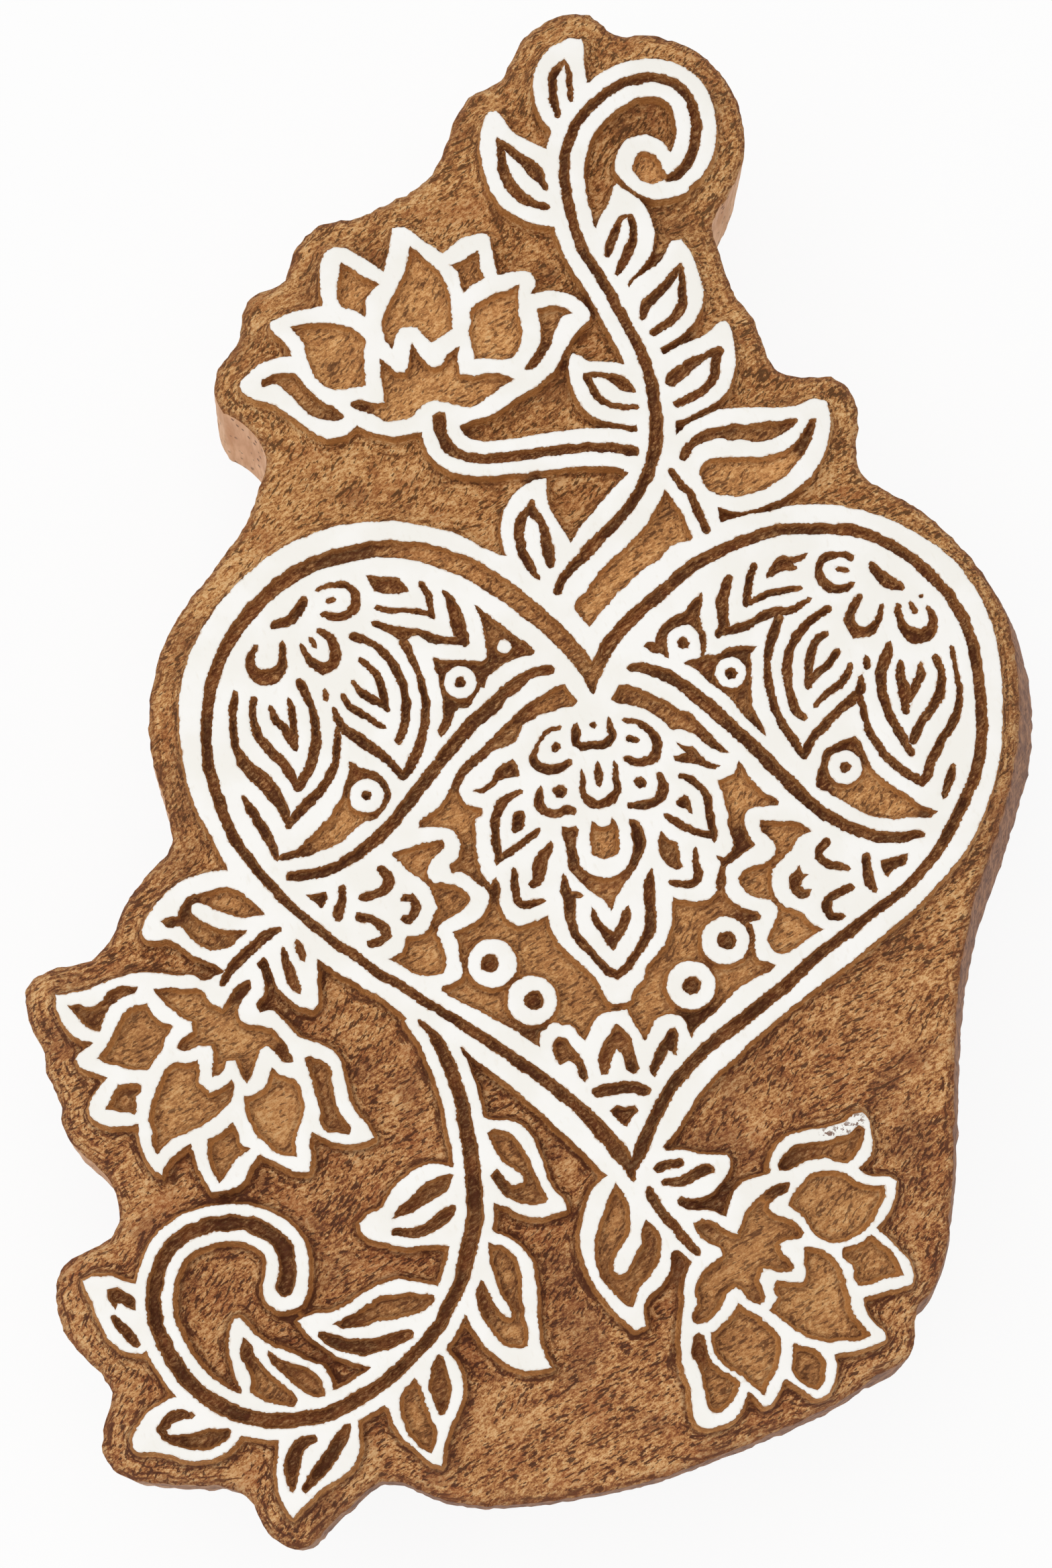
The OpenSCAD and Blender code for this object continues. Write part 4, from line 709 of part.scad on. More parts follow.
// Cuts in the leaf under the tip of the heart and in the right lotus
right_lotus_cuts = [
    cut(loops = [[[12.3, -55.9, 1], [13.4, -57.4], [14.1, -59.4], [14.1, -62.2], [13.1, -64.6], [12.1, -66],
        [11.8, -67.8], [12.6, -68.6], [13.6, -68.2], [14.8, -66], [15.8, -64.2], [15.9, -62.3],
        [16.5, -61, 1], [17.8, -62.2], [18.5, -64], [18.3, -66], [17, -68.3], [15.2, -70.6],
        [14.6, -72.9, 1], [13.2, -72.1], [11.4, -70.4], [10, -68.4], [9.5, -66], [9.4, -63.8],
        [10.1, -61.6], [10.9, -59.2]]]),
    cut(strokes = [[[18.2, -53.8, 1.2], [19.5, -53.3, 1.1], [21.2, -53, 1]]]),
    cut(strokes = [[[19, -55.7, 0.9], [21.2, -55.7, 1.1], [23, -54.8, 1.4], [24.4, -54, 1.5],
        [25.4, -54, 1.1]]]),
    cut(strokes = [[[16.9, -56.6, 0.8], [17.5, -58.3, 1.3], [18.9, -60.2, 1.2], [20.3, -61.8, 1.3],
        [21.7, -63.5, 1.2], [23.5, -65.5, 0.8]]]),
    cut(loops = [[[34.8, -53.3], [35.5, -52], [37, -50.7], [39, -50.3], [41.5, -50], [43.5, -49.4],
        [44.8, -48.8], [46, -47.9], [46.8, -48.4], [46.7, -49.7], [46, -51], [45.2, -52.3], [44, -52.9],
        [42, -52.5], [40, -52.3], [38, -53], [36, -54], [35, -54]]]),
    cut(loops = [[[36.1, -58.9, 1], [36.7, -57.6], [37.8, -56.2], [39.2, -54.7], [41.5, -54.2],
        [43.7, -54.4], [45.5, -55.5], [47.2, -56.3], [49.4, -56.1, 1], [49.4, -57.6], [48.5, -59.4],
        [47.4, -61.4], [45.5, -63], [43, -63.9], [40.5, -63.5], [39.1, -62], [38.2, -60.5]]]),
    cut(loops = [[[47.5, -62.9, 1], [48.6, -64], [50.1, -65], [50.8, -66], [51.8, -68.4, 1], [49.5, -68.8],
        [47.5, -69.5], [45.7, -69.9], [45.1, -68.8], [44.8, -67.3], [43.6, -66], [43.5, -65], [44.5, -64.5],
        [46, -64]]]),
    cut(loops = [[[38.3, -64.6, 1], [40, -64.9], [41.8, -65.7], [43, -67.2], [43.7, -69], [44.3, -71.5],
        [45, -74], [46.3, -75.5], [47.2, -76.6], [46, -77.3], [44, -77.3], [41.5, -77.5], [39.3, -77.1],
        [37, -76], [35.2, -74.6], [33.3, -73.2], [34, -72.3], [34.6, -71.6], [34, -70.4], [34.3, -69.3],
        [36, -69.4], [37.8, -69.5], [38.5, -68.6], [38.2, -67]]]),
    cut(loops = [[[36.6, -77.8, 1], [38.3, -78.3], [40, -79], [40.8, -80], [40.9, -81.5], [40.5, -83],
        [39.8, -84, 1], [38.3, -83.4], [36.8, -82.3], [36.3, -81], [36.5, -79.8]]]),
    cut(loops = [[[29, -72.3, 1], [29.8, -73], [31.5, -73.9], [33, -75], [34.4, -76.6], [34.8, -78],
        [34.5, -80], [33.6, -82.3], [32.8, -83.8], [32.3, -84.7, 1], [31.3, -83.8], [30, -82.6],
        [28.5, -81.7], [26.8, -80.5], [25.9, -79.3], [25.5, -77.8], [25.2, -76.3], [26.2, -75.7],
        [27.6, -74.6], [28.4, -73.5]]]),
    cut(loops = [[[36.2, -55.7], [35, -55.8], [33.3, -56.8], [31.5, -58.2], [30.3, -59.7], [29.6, -61.5],
        [29.1, -62.9], [27.6, -62.4], [25.9, -61.4], [24.2, -60.7], [23.1, -61.5, 1], [23.8, -63],
        [25, -63.9], [26.7, -64.8], [27, -65.8], [25.6, -66.7], [24.5, -67.7], [23.7, -69], [23.2, -70.3],
        [23.4, -72], [22.7, -74.3], [23.4, -75.2], [25, -74.6], [26, -73.6], [27, -72.2], [27.6, -70.9],
        [28.6, -70], [29.6, -70.6], [30.6, -71.8], [31.9, -72.5, 1], [32.6, -71.7], [32.3, -70.3],
        [32, -68.8], [32.4, -67.5], [33.4, -67.6], [35, -68], [36.3, -68], [36.7, -67.2], [36.1, -66.2],
        [35, -65.3], [34.8, -64.2], [35.8, -63.6], [37.5, -63.6], [38, -62.6, 1], [37.3, -61.5],
        [36, -60.8], [34.5, -60.3], [33.3, -59.4], [33.6, -58.6], [34.7, -57.6], [36, -57]]]),
    cut(loops = [[[23.6, -76.4], [22.7, -77.2], [22.6, -79], [23.6, -81], [24.1, -83], [24.6, -85.4],
        [25.1, -87], [26.3, -87.1], [27.5, -86.2], [28.7, -84.5], [29.2, -83.2, 1], [28.2, -82.3],
        [26.7, -81.5], [25.3, -80.3], [24.6, -78.6], [24.4, -77.2]]])];

cuts = concat(upper_cuts, upper_lotus_cuts, heart_cuts, left_lobe_cuts, right_lobe_cuts, field_cuts,
    heart_side_cuts, left_lotus_cuts, lower_cuts, right_lotus_cuts);

// Drilled dots [x, y, radius]: the middles of the islands and tongues, and the dots in the petals
dots = [
    [-22.5, -1.6, 0.65], [-9.4, 14.8, 0.7], [44.9, 2.8, 0.75], [28.9, 16.4, 0.8], [22.2, 20.6, 0.75],
    [-5.2, -25.3, 1.25], [1, -30.5, 1.3], [27.9, -21.95, 1.25], [23, -28.3, 1.25], [9.5, 8.6, 0.4],
    [4.1, 5.5, 0.6], [4.7, -0.8, 0.85], [15.9, 0.5, 0.85], [56.1, 27.7, 0.3]];

// Points of smooth loops and strokes
function xy(p) = [p[0], p[1]];
function is_corner(p) = len(p) > 2;
function spline(a, b, c, d, t) =
    (2 * b + (c - a) * t + (2 * a - 5 * b + 4 * c - d) * t ^ 2 + (3 * b - a - 3 * c + d) * t ^ 3) / 2;
function steps(b, c) = max(1, ceil(norm(xy(c) - xy(b)) / longest_step));

function curve(loop) =
    let (n = len(loop))
    [for (i = [0:n - 1])
        let (b = xy(loop[i]), c = xy(loop[(i + 1) % n]))
        let (a = is_corner(loop[i]) ? b : xy(loop[(i + n - 1) % n]))
        let (d = is_corner(loop[(i + 1) % n]) ? c : xy(loop[(i + 2) % n]))
        let (m = steps(b, c))
        for (k = [0:m - 1]) spline(a, b, c, d, k / m)];

function groove_of(stem) = [for (p = stem) [p[0], p[1], p[3]]];

function centre_line(path) =
    let (n = len(path))
    concat([for (i = [0:n - 2])
        let (m = steps(path[i], path[i + 1]))
        for (k = [0:m - 1])
            spline(path[max(i - 1, 0)], path[i], path[i + 1], path[min(i + 2, n - 1)], k / m)],
            [path[n - 1]]);

function heading(line, i) =
    let (step = xy(line[min(i + 1, len(line) - 1)]) - xy(line[max(i - 1, 0)]))
    atan2(step[1], step[0]);
function from_centre(p, angle) = xy(p) + p[2] / 2 * [cos(angle), sin(angle)];
function tip_angles(p) = p[2] < pointed_width ? [0] : [tip_turn, 0, -tip_turn];

function stroke(path) =
    let (line = centre_line(path), n = len(line), side = 90)
    concat(
        [for (i = [0:n - 1]) from_centre(line[i], heading(line, i) + side)],
        [for (turn = tip_angles(line[n - 1])) from_centre(line[n - 1], heading(line, n - 1) + turn)],
        [for (i = [n - 1:-1:0]) from_centre(line[i], heading(line, i) - side)],
        [for (turn = tip_angles(line[0])) from_centre(line[0], heading(line, 0) + 2 * side + turn)]);

// The drawing is centred on the board's own width and length, and drawn to the wanted width
edge_x = [for (p = curve(outline)) p[0]];
edge_y = [for (p = curve(outline)) p[1]];
drawing_centre = [(max(edge_x) + min(edge_x)) / 2, (max(edge_y) + min(edge_y)) / 2];
drawing_scale = face_width / (max(edge_x) - min(edge_x));
function placed(points) = [for (p = points) (xy(p) - drawing_centre) * drawing_scale];
edge = placed(curve(outline));

// The grip lies under the middle of the board's area, so that the block balances on it
function cross_of(a, b) = a[0] * b[1] - a[1] * b[0];
function total(v, i = 0) = i == len(v) - 1 ? v[i] : v[i] + total(v, i + 1);
edge_pairs = [for (i = [0:len(edge) - 1]) [edge[i], edge[(i + 1) % len(edge)]]];
double_area = total([for (p = edge_pairs) cross_of(p[0], p[1])]);
balance = total([for (p = edge_pairs) (p[0] + p[1]) * cross_of(p[0], p[1])]) / (3 * double_area);

// Levels from the resting face up
back_z = grip_height;
ground_z = back_z + board_thickness;
face_z = ground_z + relief_height;
wood_z = face_z - coat_thickness;
cut_z = face_z - cut_depth;
head_z = plug_length;
seat_z = head_z + screw_head_height;
screw_tip_z = back_z + screw_grip;

dowel_spacing = grip_length - 2 * dowel_inset;

// Shares of the screw's own sizes
core_share = 0.7;
slot_width_share = 0.16;
slot_depth_share = 0.5;
// Part of the pitch where the root of the thread starts and ends
root_start = 0.3;
root_end = 0.7;

module cut_parts(c) {
    for (path = c[0]) polygon(placed(stroke(path)));
    for (loop = c[1]) polygon(placed(curve(loop)));
}

module merged_cut(c) {
    if (len(c[0]) + len(c[1]) == 1) cut_parts(c);
    else offset(delta = 0) cut_parts(c);
}

module cut_shape(c) {
    if (len(c[2]) == 0) merged_cut(c);
    else difference() {
        merged_cut(c);
        for (d = c[2]) disc(d);
    }
}

module disc(d) translate(placed([d])[0]) circle(r = d[2] * drawing_scale, $fn = dot_sides);

module raised_shape() offset(delta = 0) {
    for (loop = raised_loops) polygon(placed(curve(loop)));
    for (stem = stems) polygon(placed(stroke(stem)));
    polygon(placed(stroke(curl_hook)));
}

module from_to(low, high) translate([0, 0, low]) linear_extrude(high - low) children();

module at_grip(y = 0) translate([balance[0], balance[1] + y, 0]) children();

module rod(diameter, low, high) translate([0, 0, low])
    cylinder(d = diameter, h = high - low, $fn = turned_sides);

module carved_board() color("peru") difference() {
    union() {
        from_to(back_z, ground_z) polygon(edge);
        from_to(ground_z, wood_z) raised_shape();
    }
    for (c = cuts) from_to(cut_z, face_z + over) cut_shape(c);
    for (d = dots) from_to(cut_z, face_z + over) disc(d);
    for (side = [-1, 1]) {
        at_grip(side * screw_spacing / 2)
            rod(screw_diameter + 2 * fit_clearance, back_z - over, screw_tip_z + fit_clearance);
        at_grip(side * dowel_spacing / 2)
            rod(dowel_diameter + 2 * fit_clearance, back_z - over, back_z + dowel_depth + fit_clearance);
    }
}

module white_coat() color("ivory") from_to(wood_z, face_z) difference() {
    raised_shape();
    for (c = cuts) cut_shape(c);
    for (d = dots) disc(d);
}

module grip_plan(inset) {
    r = grip_width / 2 - inset;
    reach = grip_length / 2 - grip_width / 2;
    hull() for (side = [-1, 1]) translate([0, side * reach]) circle(r = r, $fn = grip_sides);
}

module back_grip() color("sienna") at_grip() difference() {
    hull() {
        from_to(0, back_z) grip_plan(grip_chamfer);
        from_to(grip_chamfer, back_z) grip_plan(0);
    }
    for (side = [-1, 1]) {
        translate([0, side * screw_spacing / 2, 0]) {
            rod(plug_diameter + 2 * fit_clearance, -over, seat_z);
            rod(screw_diameter + 2 * fit_clearance, 0, back_z + over);
        }
        translate([0, side * dowel_spacing / 2, 0])
            rod(dowel_diameter + 2 * fit_clearance, back_z - dowel_depth - fit_clearance, back_z + over);
    }
}

// A slotted round-headed screw, its head against the bottom of the hole in the grip
module screw(y) color("goldenrod") at_grip(y) {
    crest = screw_diameter / 2;
    root = crest * core_share;
    turns = round(screw_grip / screw_pitch) - 1;
    thread_z = screw_tip_z - (turns + 1) * screw_pitch;
    difference() {
        rod(screw_head_diameter, head_z, seat_z);
        translate([-screw_head_diameter, -screw_head_diameter * slot_width_share / 2, head_z - over])
            cube([2 * screw_head_diameter, screw_head_diameter * slot_width_share,
                over + screw_head_height * slot_depth_share]);
    }
    rotate_extrude($fn = turned_sides) polygon(concat(
        [[0, seat_z], [crest, seat_z], [crest, thread_z]],
        [for (i = [0:turns - 1]) each [
            [root, thread_z + (i + root_start) * screw_pitch],
            [root, thread_z + (i + root_end) * screw_pitch],
            [crest, thread_z + (i + 1) * screw_pitch]]],
        [[0, screw_tip_z]]));
}

module dowel(y) color("burlywood") at_grip(y) rod(dowel_diameter, back_z - dowel_depth, back_z + dowel_depth);

module plug(y) color("chocolate") at_grip(y) rod(plug_diameter, 0, plug_length);

carved_board();
white_coat();
back_grip();
screw(screw_spacing / 2);  // screw_top
screw(-screw_spacing / 2);  // screw_bottom
dowel(dowel_spacing / 2);  // dowel_top
dowel(-dowel_spacing / 2);  // dowel_bottom
plug(screw_spacing / 2);  // plug_top
plug(-screw_spacing / 2);  // plug_bottom
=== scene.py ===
import math
import bpy
import numpy as np
from mathutils import Matrix, Vector
from mathutils.geometry import delaunay_2d_cdt
from mathutils.kdtree import KDTree


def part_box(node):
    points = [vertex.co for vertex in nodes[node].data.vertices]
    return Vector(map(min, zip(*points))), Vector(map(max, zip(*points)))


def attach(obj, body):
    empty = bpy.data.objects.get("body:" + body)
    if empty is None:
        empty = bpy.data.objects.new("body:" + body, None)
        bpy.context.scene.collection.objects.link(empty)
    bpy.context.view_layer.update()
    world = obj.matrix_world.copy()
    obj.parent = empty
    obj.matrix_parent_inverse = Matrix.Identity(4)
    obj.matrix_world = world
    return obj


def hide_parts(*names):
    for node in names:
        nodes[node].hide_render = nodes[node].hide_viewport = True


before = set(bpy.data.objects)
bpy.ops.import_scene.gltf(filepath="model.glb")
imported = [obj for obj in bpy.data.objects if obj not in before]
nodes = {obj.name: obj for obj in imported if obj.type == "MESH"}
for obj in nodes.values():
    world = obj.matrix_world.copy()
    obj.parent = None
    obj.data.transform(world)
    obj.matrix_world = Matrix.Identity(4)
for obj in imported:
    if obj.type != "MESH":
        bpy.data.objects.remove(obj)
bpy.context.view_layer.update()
dice = np.random.default_rng(41)
mm = 0.001
weld = 1e-5  # points of a triangulation closer than this are one
print("stage: frame loaded,", len(nodes), "nodes")


def tone(text):  # a screen colour such as a06a40 as linear light
    parts = [int(text[i:i + 2], 16) / 255 for i in (0, 2, 4)]
    return tuple(p / 12.92 if p <= 0.04045 else ((p + 0.055) / 1.055) ** 2.4 for p in parts) + (1.0,)


class Wire:
    def __init__(self, tree, socket=None):
        self.tree, self.socket = tree, socket

    def node(self, kind, settings=None, inputs=None, out=0):
        made = self.tree.nodes.new(kind)
        for key, value in (settings or {}).items():
            if key == "stops":
                for i, (at, colour) in enumerate(value):
                    stop = made.color_ramp.elements[i] if i < 2 else made.color_ramp.elements.new(at)
                    stop.position, stop.color = at, colour
            else:
                setattr(made, key, value)
        for key, value in (inputs or {}).items():
            if isinstance(value, Wire):
                self.tree.links.new(value.socket, made.inputs[key])
            else:
                made.inputs[key].default_value = value
        return Wire(self.tree, made.outputs[out] if len(made.outputs) else None)

    def sum(self, kind, a, b):
        return self.node("ShaderNodeMath", {"operation": kind}, {0: a, 1: b})

    def __add__(self, other):
        return self.sum("ADD", self, other)

    def __radd__(self, other):
        return self.sum("ADD", other, self)

    def __sub__(self, other):
        return self.sum("SUBTRACT", self, other)

    def __rsub__(self, other):
        return self.sum("SUBTRACT", other, self)

    def __mul__(self, other):
        return self.sum("MULTIPLY", self, other)

    def __rmul__(self, other):
        return self.sum("MULTIPLY", other, self)


def spread(wire, low, high):  # 0 below low, 1 above high, smooth between; low may be the larger
    return wire.node("ShaderNodeMapRange", {"interpolation_type": "SMOOTHSTEP"},
                     {"Value": wire, "From Min": low, "From Max": high})


def blend(factor, first, second):  # each colour is a wire or a screen colour
    first, second = (tone(c) if isinstance(c, str) else c for c in (first, second))
    return factor.node("ShaderNodeMix", {"data_type": "RGBA"}, {0: factor, 6: first, 7: second}, 2)


def noise(place, scale, detail=3.0, rough=0.6):
    return place.node("ShaderNodeTexNoise", {}, {"Vector": place, "Scale": scale, "Detail": detail,
                                                 "Roughness": rough})


def turned(place, angle, scale):  # turned to the grain first, then stretched
    return place.node("ShaderNodeMapping", {"vector_type": "TEXTURE"},
                      {"Vector": place, "Rotation": (0, 0, angle), "Scale": tuple(1 / s for s in scale)})


def material(name):  # an empty tree, the wire that starts it and a place in millimetres
    mat = bpy.data.materials.new(name)
    mat.use_nodes = True
    mat.node_tree.nodes.clear()
    start = Wire(mat.node_tree)
    place = start.node("ShaderNodeTexCoord", {}, {}, "Object")
    place = place.node("ShaderNodeVectorMath", {"operation": "SCALE"}, {0: place, "Scale": 1000.0})
    return mat, start, place


def surface(start, inputs, bump, depth, strength):  # depth in millimetres
    inputs["Normal"] = start.node("ShaderNodeBump", {}, {"Height": bump, "Distance": depth * mm,
                                                         "Strength": strength})
    skin = start.node("ShaderNodeBsdfPrincipled", {}, inputs)
    start.node("ShaderNodeOutputMaterial", {}, {"Surface": skin})


def attribute(start, name):
    return start.node("ShaderNodeAttribute", {"attribute_name": name}, {}, "Fac")


carvedTones = {"ramp": [(0.0, "61331b"), (1.0, "f6ca92"), (0.22, "985b32"), (0.5, "c28750"),
                        (0.76, "e2aa6e")],
               "red": "aa6236", "patch": "734a32", "pocket": "dca968", "dash": "3e1b0b", "stroke": "4c2613",
               "low": "6e4630", "high": "916a34", "footShade": "522913", "groove": "743a17", "grooveCoreShade": "3e1d0c",
               "lit": "c28446", "line": "70401f", "rim": "7e4a2c"}


def carvedWood():
    mat, start, place = material("carvedWood")
    reach, room, rim, pocket = (attribute(start, n) for n in ("reach", "room", "rim", "pocket"))
    fleck = noise(turned(place, 0.6, (0.55, 1.3, 1.0)), 1.8, 5.0, 0.75)
    fine = noise(place, 4.2, 2.0, 0.6)
    patch = noise(place, 0.1, 4.0, 0.6)
    red = noise(place, 0.17, 3.0, 0.55)
    band = noise(turned(place, 0.62, (0.06, 0.32, 1.0)), 1.0, 3.0, 0.6)
    steep = spread(noise(place, 0.045, 1.0, 0.5), 0.44, 0.56)
    dash = noise(turned(place, 0.5, (0.34, 1.3, 1.0)), 1.9, 2.0, 0.5) * (1.0 - steep)
    dash = dash + noise(turned(place, 1.0, (0.38, 1.3, 1.0)), 1.9, 2.0, 0.5) * steep
    depth = start.node("ShaderNodeCombineXYZ", {}, {"Z": (reach - rim) * 1.1})  # strokes follow the edges
    around = start.node("ShaderNodeVectorMath", {"operation": "MULTIPLY_ADD"},
                        {0: place, 1: (0.32, 0.32, 0.0), 2: depth})
    nearEdge = spread(start.sum("MINIMUM", reach, rim), 3.0, 1.2) * (1.0 - pocket * 0.8)
    stroke = (noise(around, 1.0, 3.0, 0.6) - 0.5) * nearEdge
    upwards = start.node("ShaderNodeSeparateXYZ", {}, {"Vector": place}, "Y")
    low = spread(upwards, 30.0, -70.0)  # the lower half is darker
    narrow = spread(room, 1.7 + low * 0.2, 0.75)
    mixed = spread(fleck * 0.9 + fine * 0.3 + patch * 0.16 + stroke * 0.4 + band * 0.28, 0.65, 0.99)
    stops = [(at, tone(c)) for at, c in carvedTones["ramp"]]
    base = start.node("ShaderNodeValToRGB", {"stops": stops}, {"Fac": mixed})
    base = blend(spread(red, 0.5, 0.66) * (0.34 - pocket * 0.16), base, carvedTones["red"])
    base = blend(spread(patch, 0.46, 0.36) * (0.28 - pocket * 0.2), base, carvedTones["patch"])
    base = blend(pocket * 0.3, base, carvedTones["pocket"])
    base = blend(spread(dash + band * 0.35, 0.62, 0.565) * (0.9 - pocket * 0.22), base, carvedTones["dash"])
    base = blend(spread(stroke, -0.05, -0.12) * (0.4 + low * 0.4), base, carvedTones["stroke"])
    base = blend(low * 0.18, base, carvedTones["low"])
    base = blend((1.0 - low) * (1.0 - pocket) * 0.2, base, carvedTones["high"])
    footShade = spread(reach, 0.3 + low * 0.2, 0.55 + low * 0.2)  # painted shade, partly stain: a dark line where a wall meets the ground
    footShade = footShade * spread(reach + fleck * 1.2, 1.6 + low * 0.5, 1.1 + low * 0.2)
    base = blend(footShade * (0.25 + low * (0.4 - pocket * 0.2)), base, carvedTones["footShade"])
    # painted shade: narrow grooves are darkened
    base = blend(narrow * spread(fleck, 0.8, 0.35) * 0.8, base, carvedTones["groove"])
    # painted shade: the middle of each narrow groove is darkened most
    grooveCoreShade = narrow * spread(reach, 0.2, 0.45) * spread(red + fleck * 0.5, 0.86, 0.66)
    base = blend(grooveCoreShade * 0.6, base, carvedTones["grooveCoreShade"])
    lit = 0.18 + spread(room, 0.5, 2.0) * (0.12 + low * 0.25)  # how wide a wall catches the light
    base = blend(spread(reach, lit + 0.12, lit - 0.08) * (0.6 - narrow * 0.2), base, carvedTones["lit"])
    # painted shade: a thin dark line at the top of each wall, just under the white
    base = blend(spread(reach + fleck * 0.12, 0.16, 0.08) * 0.4, base, carvedTones["line"])
    base = blend(spread(rim + fleck * 1.6, 2.3, 1.0) * 0.4, base, carvedTones["rim"])
    surface(start, {"Base Color": base, "Roughness": 0.78, "Specular IOR Level": 0.25},
            fleck * 0.7 + fine * 0.5 + stroke * 0.4 + dash * 0.4, depth=0.25, strength=0.8)
    return mat


# dark and pale are the side wood's own tones, made lighter as painted light, since the upright walls get
# little of the overhead light
sawnTones = {"dark": "d3a076", "pale": "f2c6a0", "patch": "cf9b78", "oldDark": "6a4029", "oldPale": "ae7c58",
             "pore": "4a2414"}


def sawnWood():
    mat, start, place = material("sawnWood")
    weather = attribute(start, "weather")
    streak = noise(turned(place, 0.0, (0.8, 0.8, 0.14)), 0.9, 3.0, 0.6)
    patch = noise(place, 0.05, 2.0, 0.5)
    grainWay = turned(place, 0.0, (1.0, 1.0, 0.6))
    pore = start.node("ShaderNodeTexVoronoi", {"feature": "F1"},
                      {"Vector": grainWay, "Scale": 0.8}, "Distance")
    pores = spread(pore + noise(place, 0.5) * 0.2, 0.36, 0.27) * spread(noise(place, 0.12), 0.34, 0.46)
    # the side wood's tones, lightened as painted light for the upright walls
    base = blend(spread(streak, 0.32, 0.7), sawnTones["dark"], sawnTones["pale"])
    base = blend(spread(patch, 0.4, 0.65) * 0.4, base, sawnTones["patch"])
    stain = spread(streak * 0.6 + noise(place, 1.4, 4.0, 0.7) * 0.6, 0.48, 0.74)
    old = blend(stain, sawnTones["oldDark"], sawnTones["oldPale"])
    base = blend(spread(weather + patch * 0.6, 0.45, 0.95), base, old)
    base = blend(pores * (0.7 + weather * 0.2), base, sawnTones["pore"])
    surface(start, {"Base Color": base, "Roughness": 0.72, "Specular IOR Level": 0.3},
            streak * 0.6 - pores * 0.8, depth=0.15, strength=0.6)
    return mat


paintTones = {"dull": "f3f0e9", "bright": "f8f6f2", "grain": "e6dfd2", "worn": "c9a887", "rubbed": "6b4128"}


def whitePaint():
    mat, start, place = material("whitePaint")
    inset = attribute(start, "inset")
    cloud = noise(place, 0.11, 3.0, 0.55)
    grain = noise(turned(place, 0.3, (1.0, 0.35, 1.0)), 1.4, 3.0, 0.6)
    base = blend(spread(cloud, 0.35, 0.65), paintTones["dull"], paintTones["bright"])
    base = blend(spread(grain, 0.42, 0.25) * 0.3, base, paintTones["grain"])
    worn = spread(inset, 0.3, 0.05) * spread(noise(place, 1.1), 0.52, 0.68)
    base = blend(worn * 0.55, base, paintTones["worn"])
    for spot, size in scuffs:
        near = start.node("ShaderNodeVectorMath", {"operation": "DISTANCE"}, {0: place, 1: spot}, "Value")
        rubbed = spread(near, size, size * 0.3) * spread(noise(place, 1.5, 2.0), 0.53, 0.58)
        base = blend(rubbed * 0.9, base, paintTones["rubbed"])
    surface(start, {"Base Color": base, "Roughness": 0.62, "Specular IOR Level": 0.3},
            grain * 0.5 + cloud * 0.6, depth=0.06, strength=0.5)
    return mat


def plainWood(name, low, high, stretch):
    mat, start, place = material(name)
    rings = noise(turned(place, 0.1, stretch), 0.5, 4.0, 0.6)
    fine = noise(turned(place, 0.1, (2.2, 0.12, 2.2)), 1.2, 2.0, 0.6)
    base = blend(spread(rings, 0.32, 0.68), low, high)
    base = blend(spread(fine, 0.44, 0.3) * 0.45, base, "4b2c1a")
    surface(start, {"Base Color": base, "Roughness": 0.5 + rings * 0.25, "Specular IOR Level": 0.35},
            fine * 0.6 + rings * 0.3, depth=0.1, strength=0.5)
    return mat


def brass():
    mat, start, place = material("brass")
    smear = noise(place, 0.6, 3.0, 0.6)
    base = blend(spread(smear, 0.35, 0.65), "a88442", "cfae63")
    surface(start, {"Base Color": base, "Metallic": 1.0, "Roughness": 0.28 + smear * 0.2},
            smear, depth=0.03, strength=0.4)
    return mat


def hum(points, waves):  # a smooth random value at each point, about -1 to 1
    total = np.zeros(len(points))
    for kx, ky, phase, weight in waves:
        total += weight * np.sin(points[:, 0] * kx + points[:, 1] * ky + phase)
    return total


def waves(short, long, count):  # seeded ripples with lengths between short and long, in millimetres
    made = []
    weight = 1.4 / math.sqrt(count)  # keeps their sum at about -1 to 1
    for _ in range(count):
        length, way = dice.uniform(short, long), dice.uniform(0, 2 * math.pi)
        made.append((2 * math.pi / length * math.cos(way), 2 * math.pi / length * math.sin(way),
                     dice.uniform(0, 2 * math.pi), weight))
    return made


def ripples(points, size, short, long, count):  # size in millimetres, or a share
    return size * hum(points, waves(short, long, count))


def flatLoops(node, level):  # the edge loops of a node's flat face at one height, in millimetres
    mesh = node.data
    mesh.calc_loop_triangles()
    at = np.empty(len(mesh.vertices) * 3)
    mesh.vertices.foreach_get("co", at)
    at = at.reshape(-1, 3) / mm
    tris = np.empty(len(mesh.loop_triangles) * 3, dtype=np.int64)
    mesh.loop_triangles.foreach_get("vertices", tris)
    fine = 1000  # points within a thousandth of a millimetre are one
    spots, same = np.unique(np.round(at * fine).astype(np.int64), axis=0, return_inverse=True)
    tris = same.reshape(-1)[tris].reshape(-1, 3)
    tris = tris[(np.abs(spots[tris, 2] / fine - level) < 0.01).all(axis=1)]
    ways = {(int(a), int(b)) for t in tris for a, b in ((t[0], t[1]), (t[1], t[2]), (t[2], t[0]))}
    after = {}
    for a, b in ways:
        if (b, a) not in ways:
            after.setdefault(a, []).append(b)
    loops = []
    while after:
        first = min(after)
        ring, spot = [], first
        while spot in after:
            ring.append(spot)
            following = after[spot].pop()
            if not after[spot]:
                del after[spot]
            spot = following
        loops.append(spots[ring, :2] / fine)
    return loops


def area(ring):
    x, y = ring[:, 0], ring[:, 1]
    return 0.5 * float(np.sum(x * np.roll(y, -1) - np.roll(x, -1) * y))


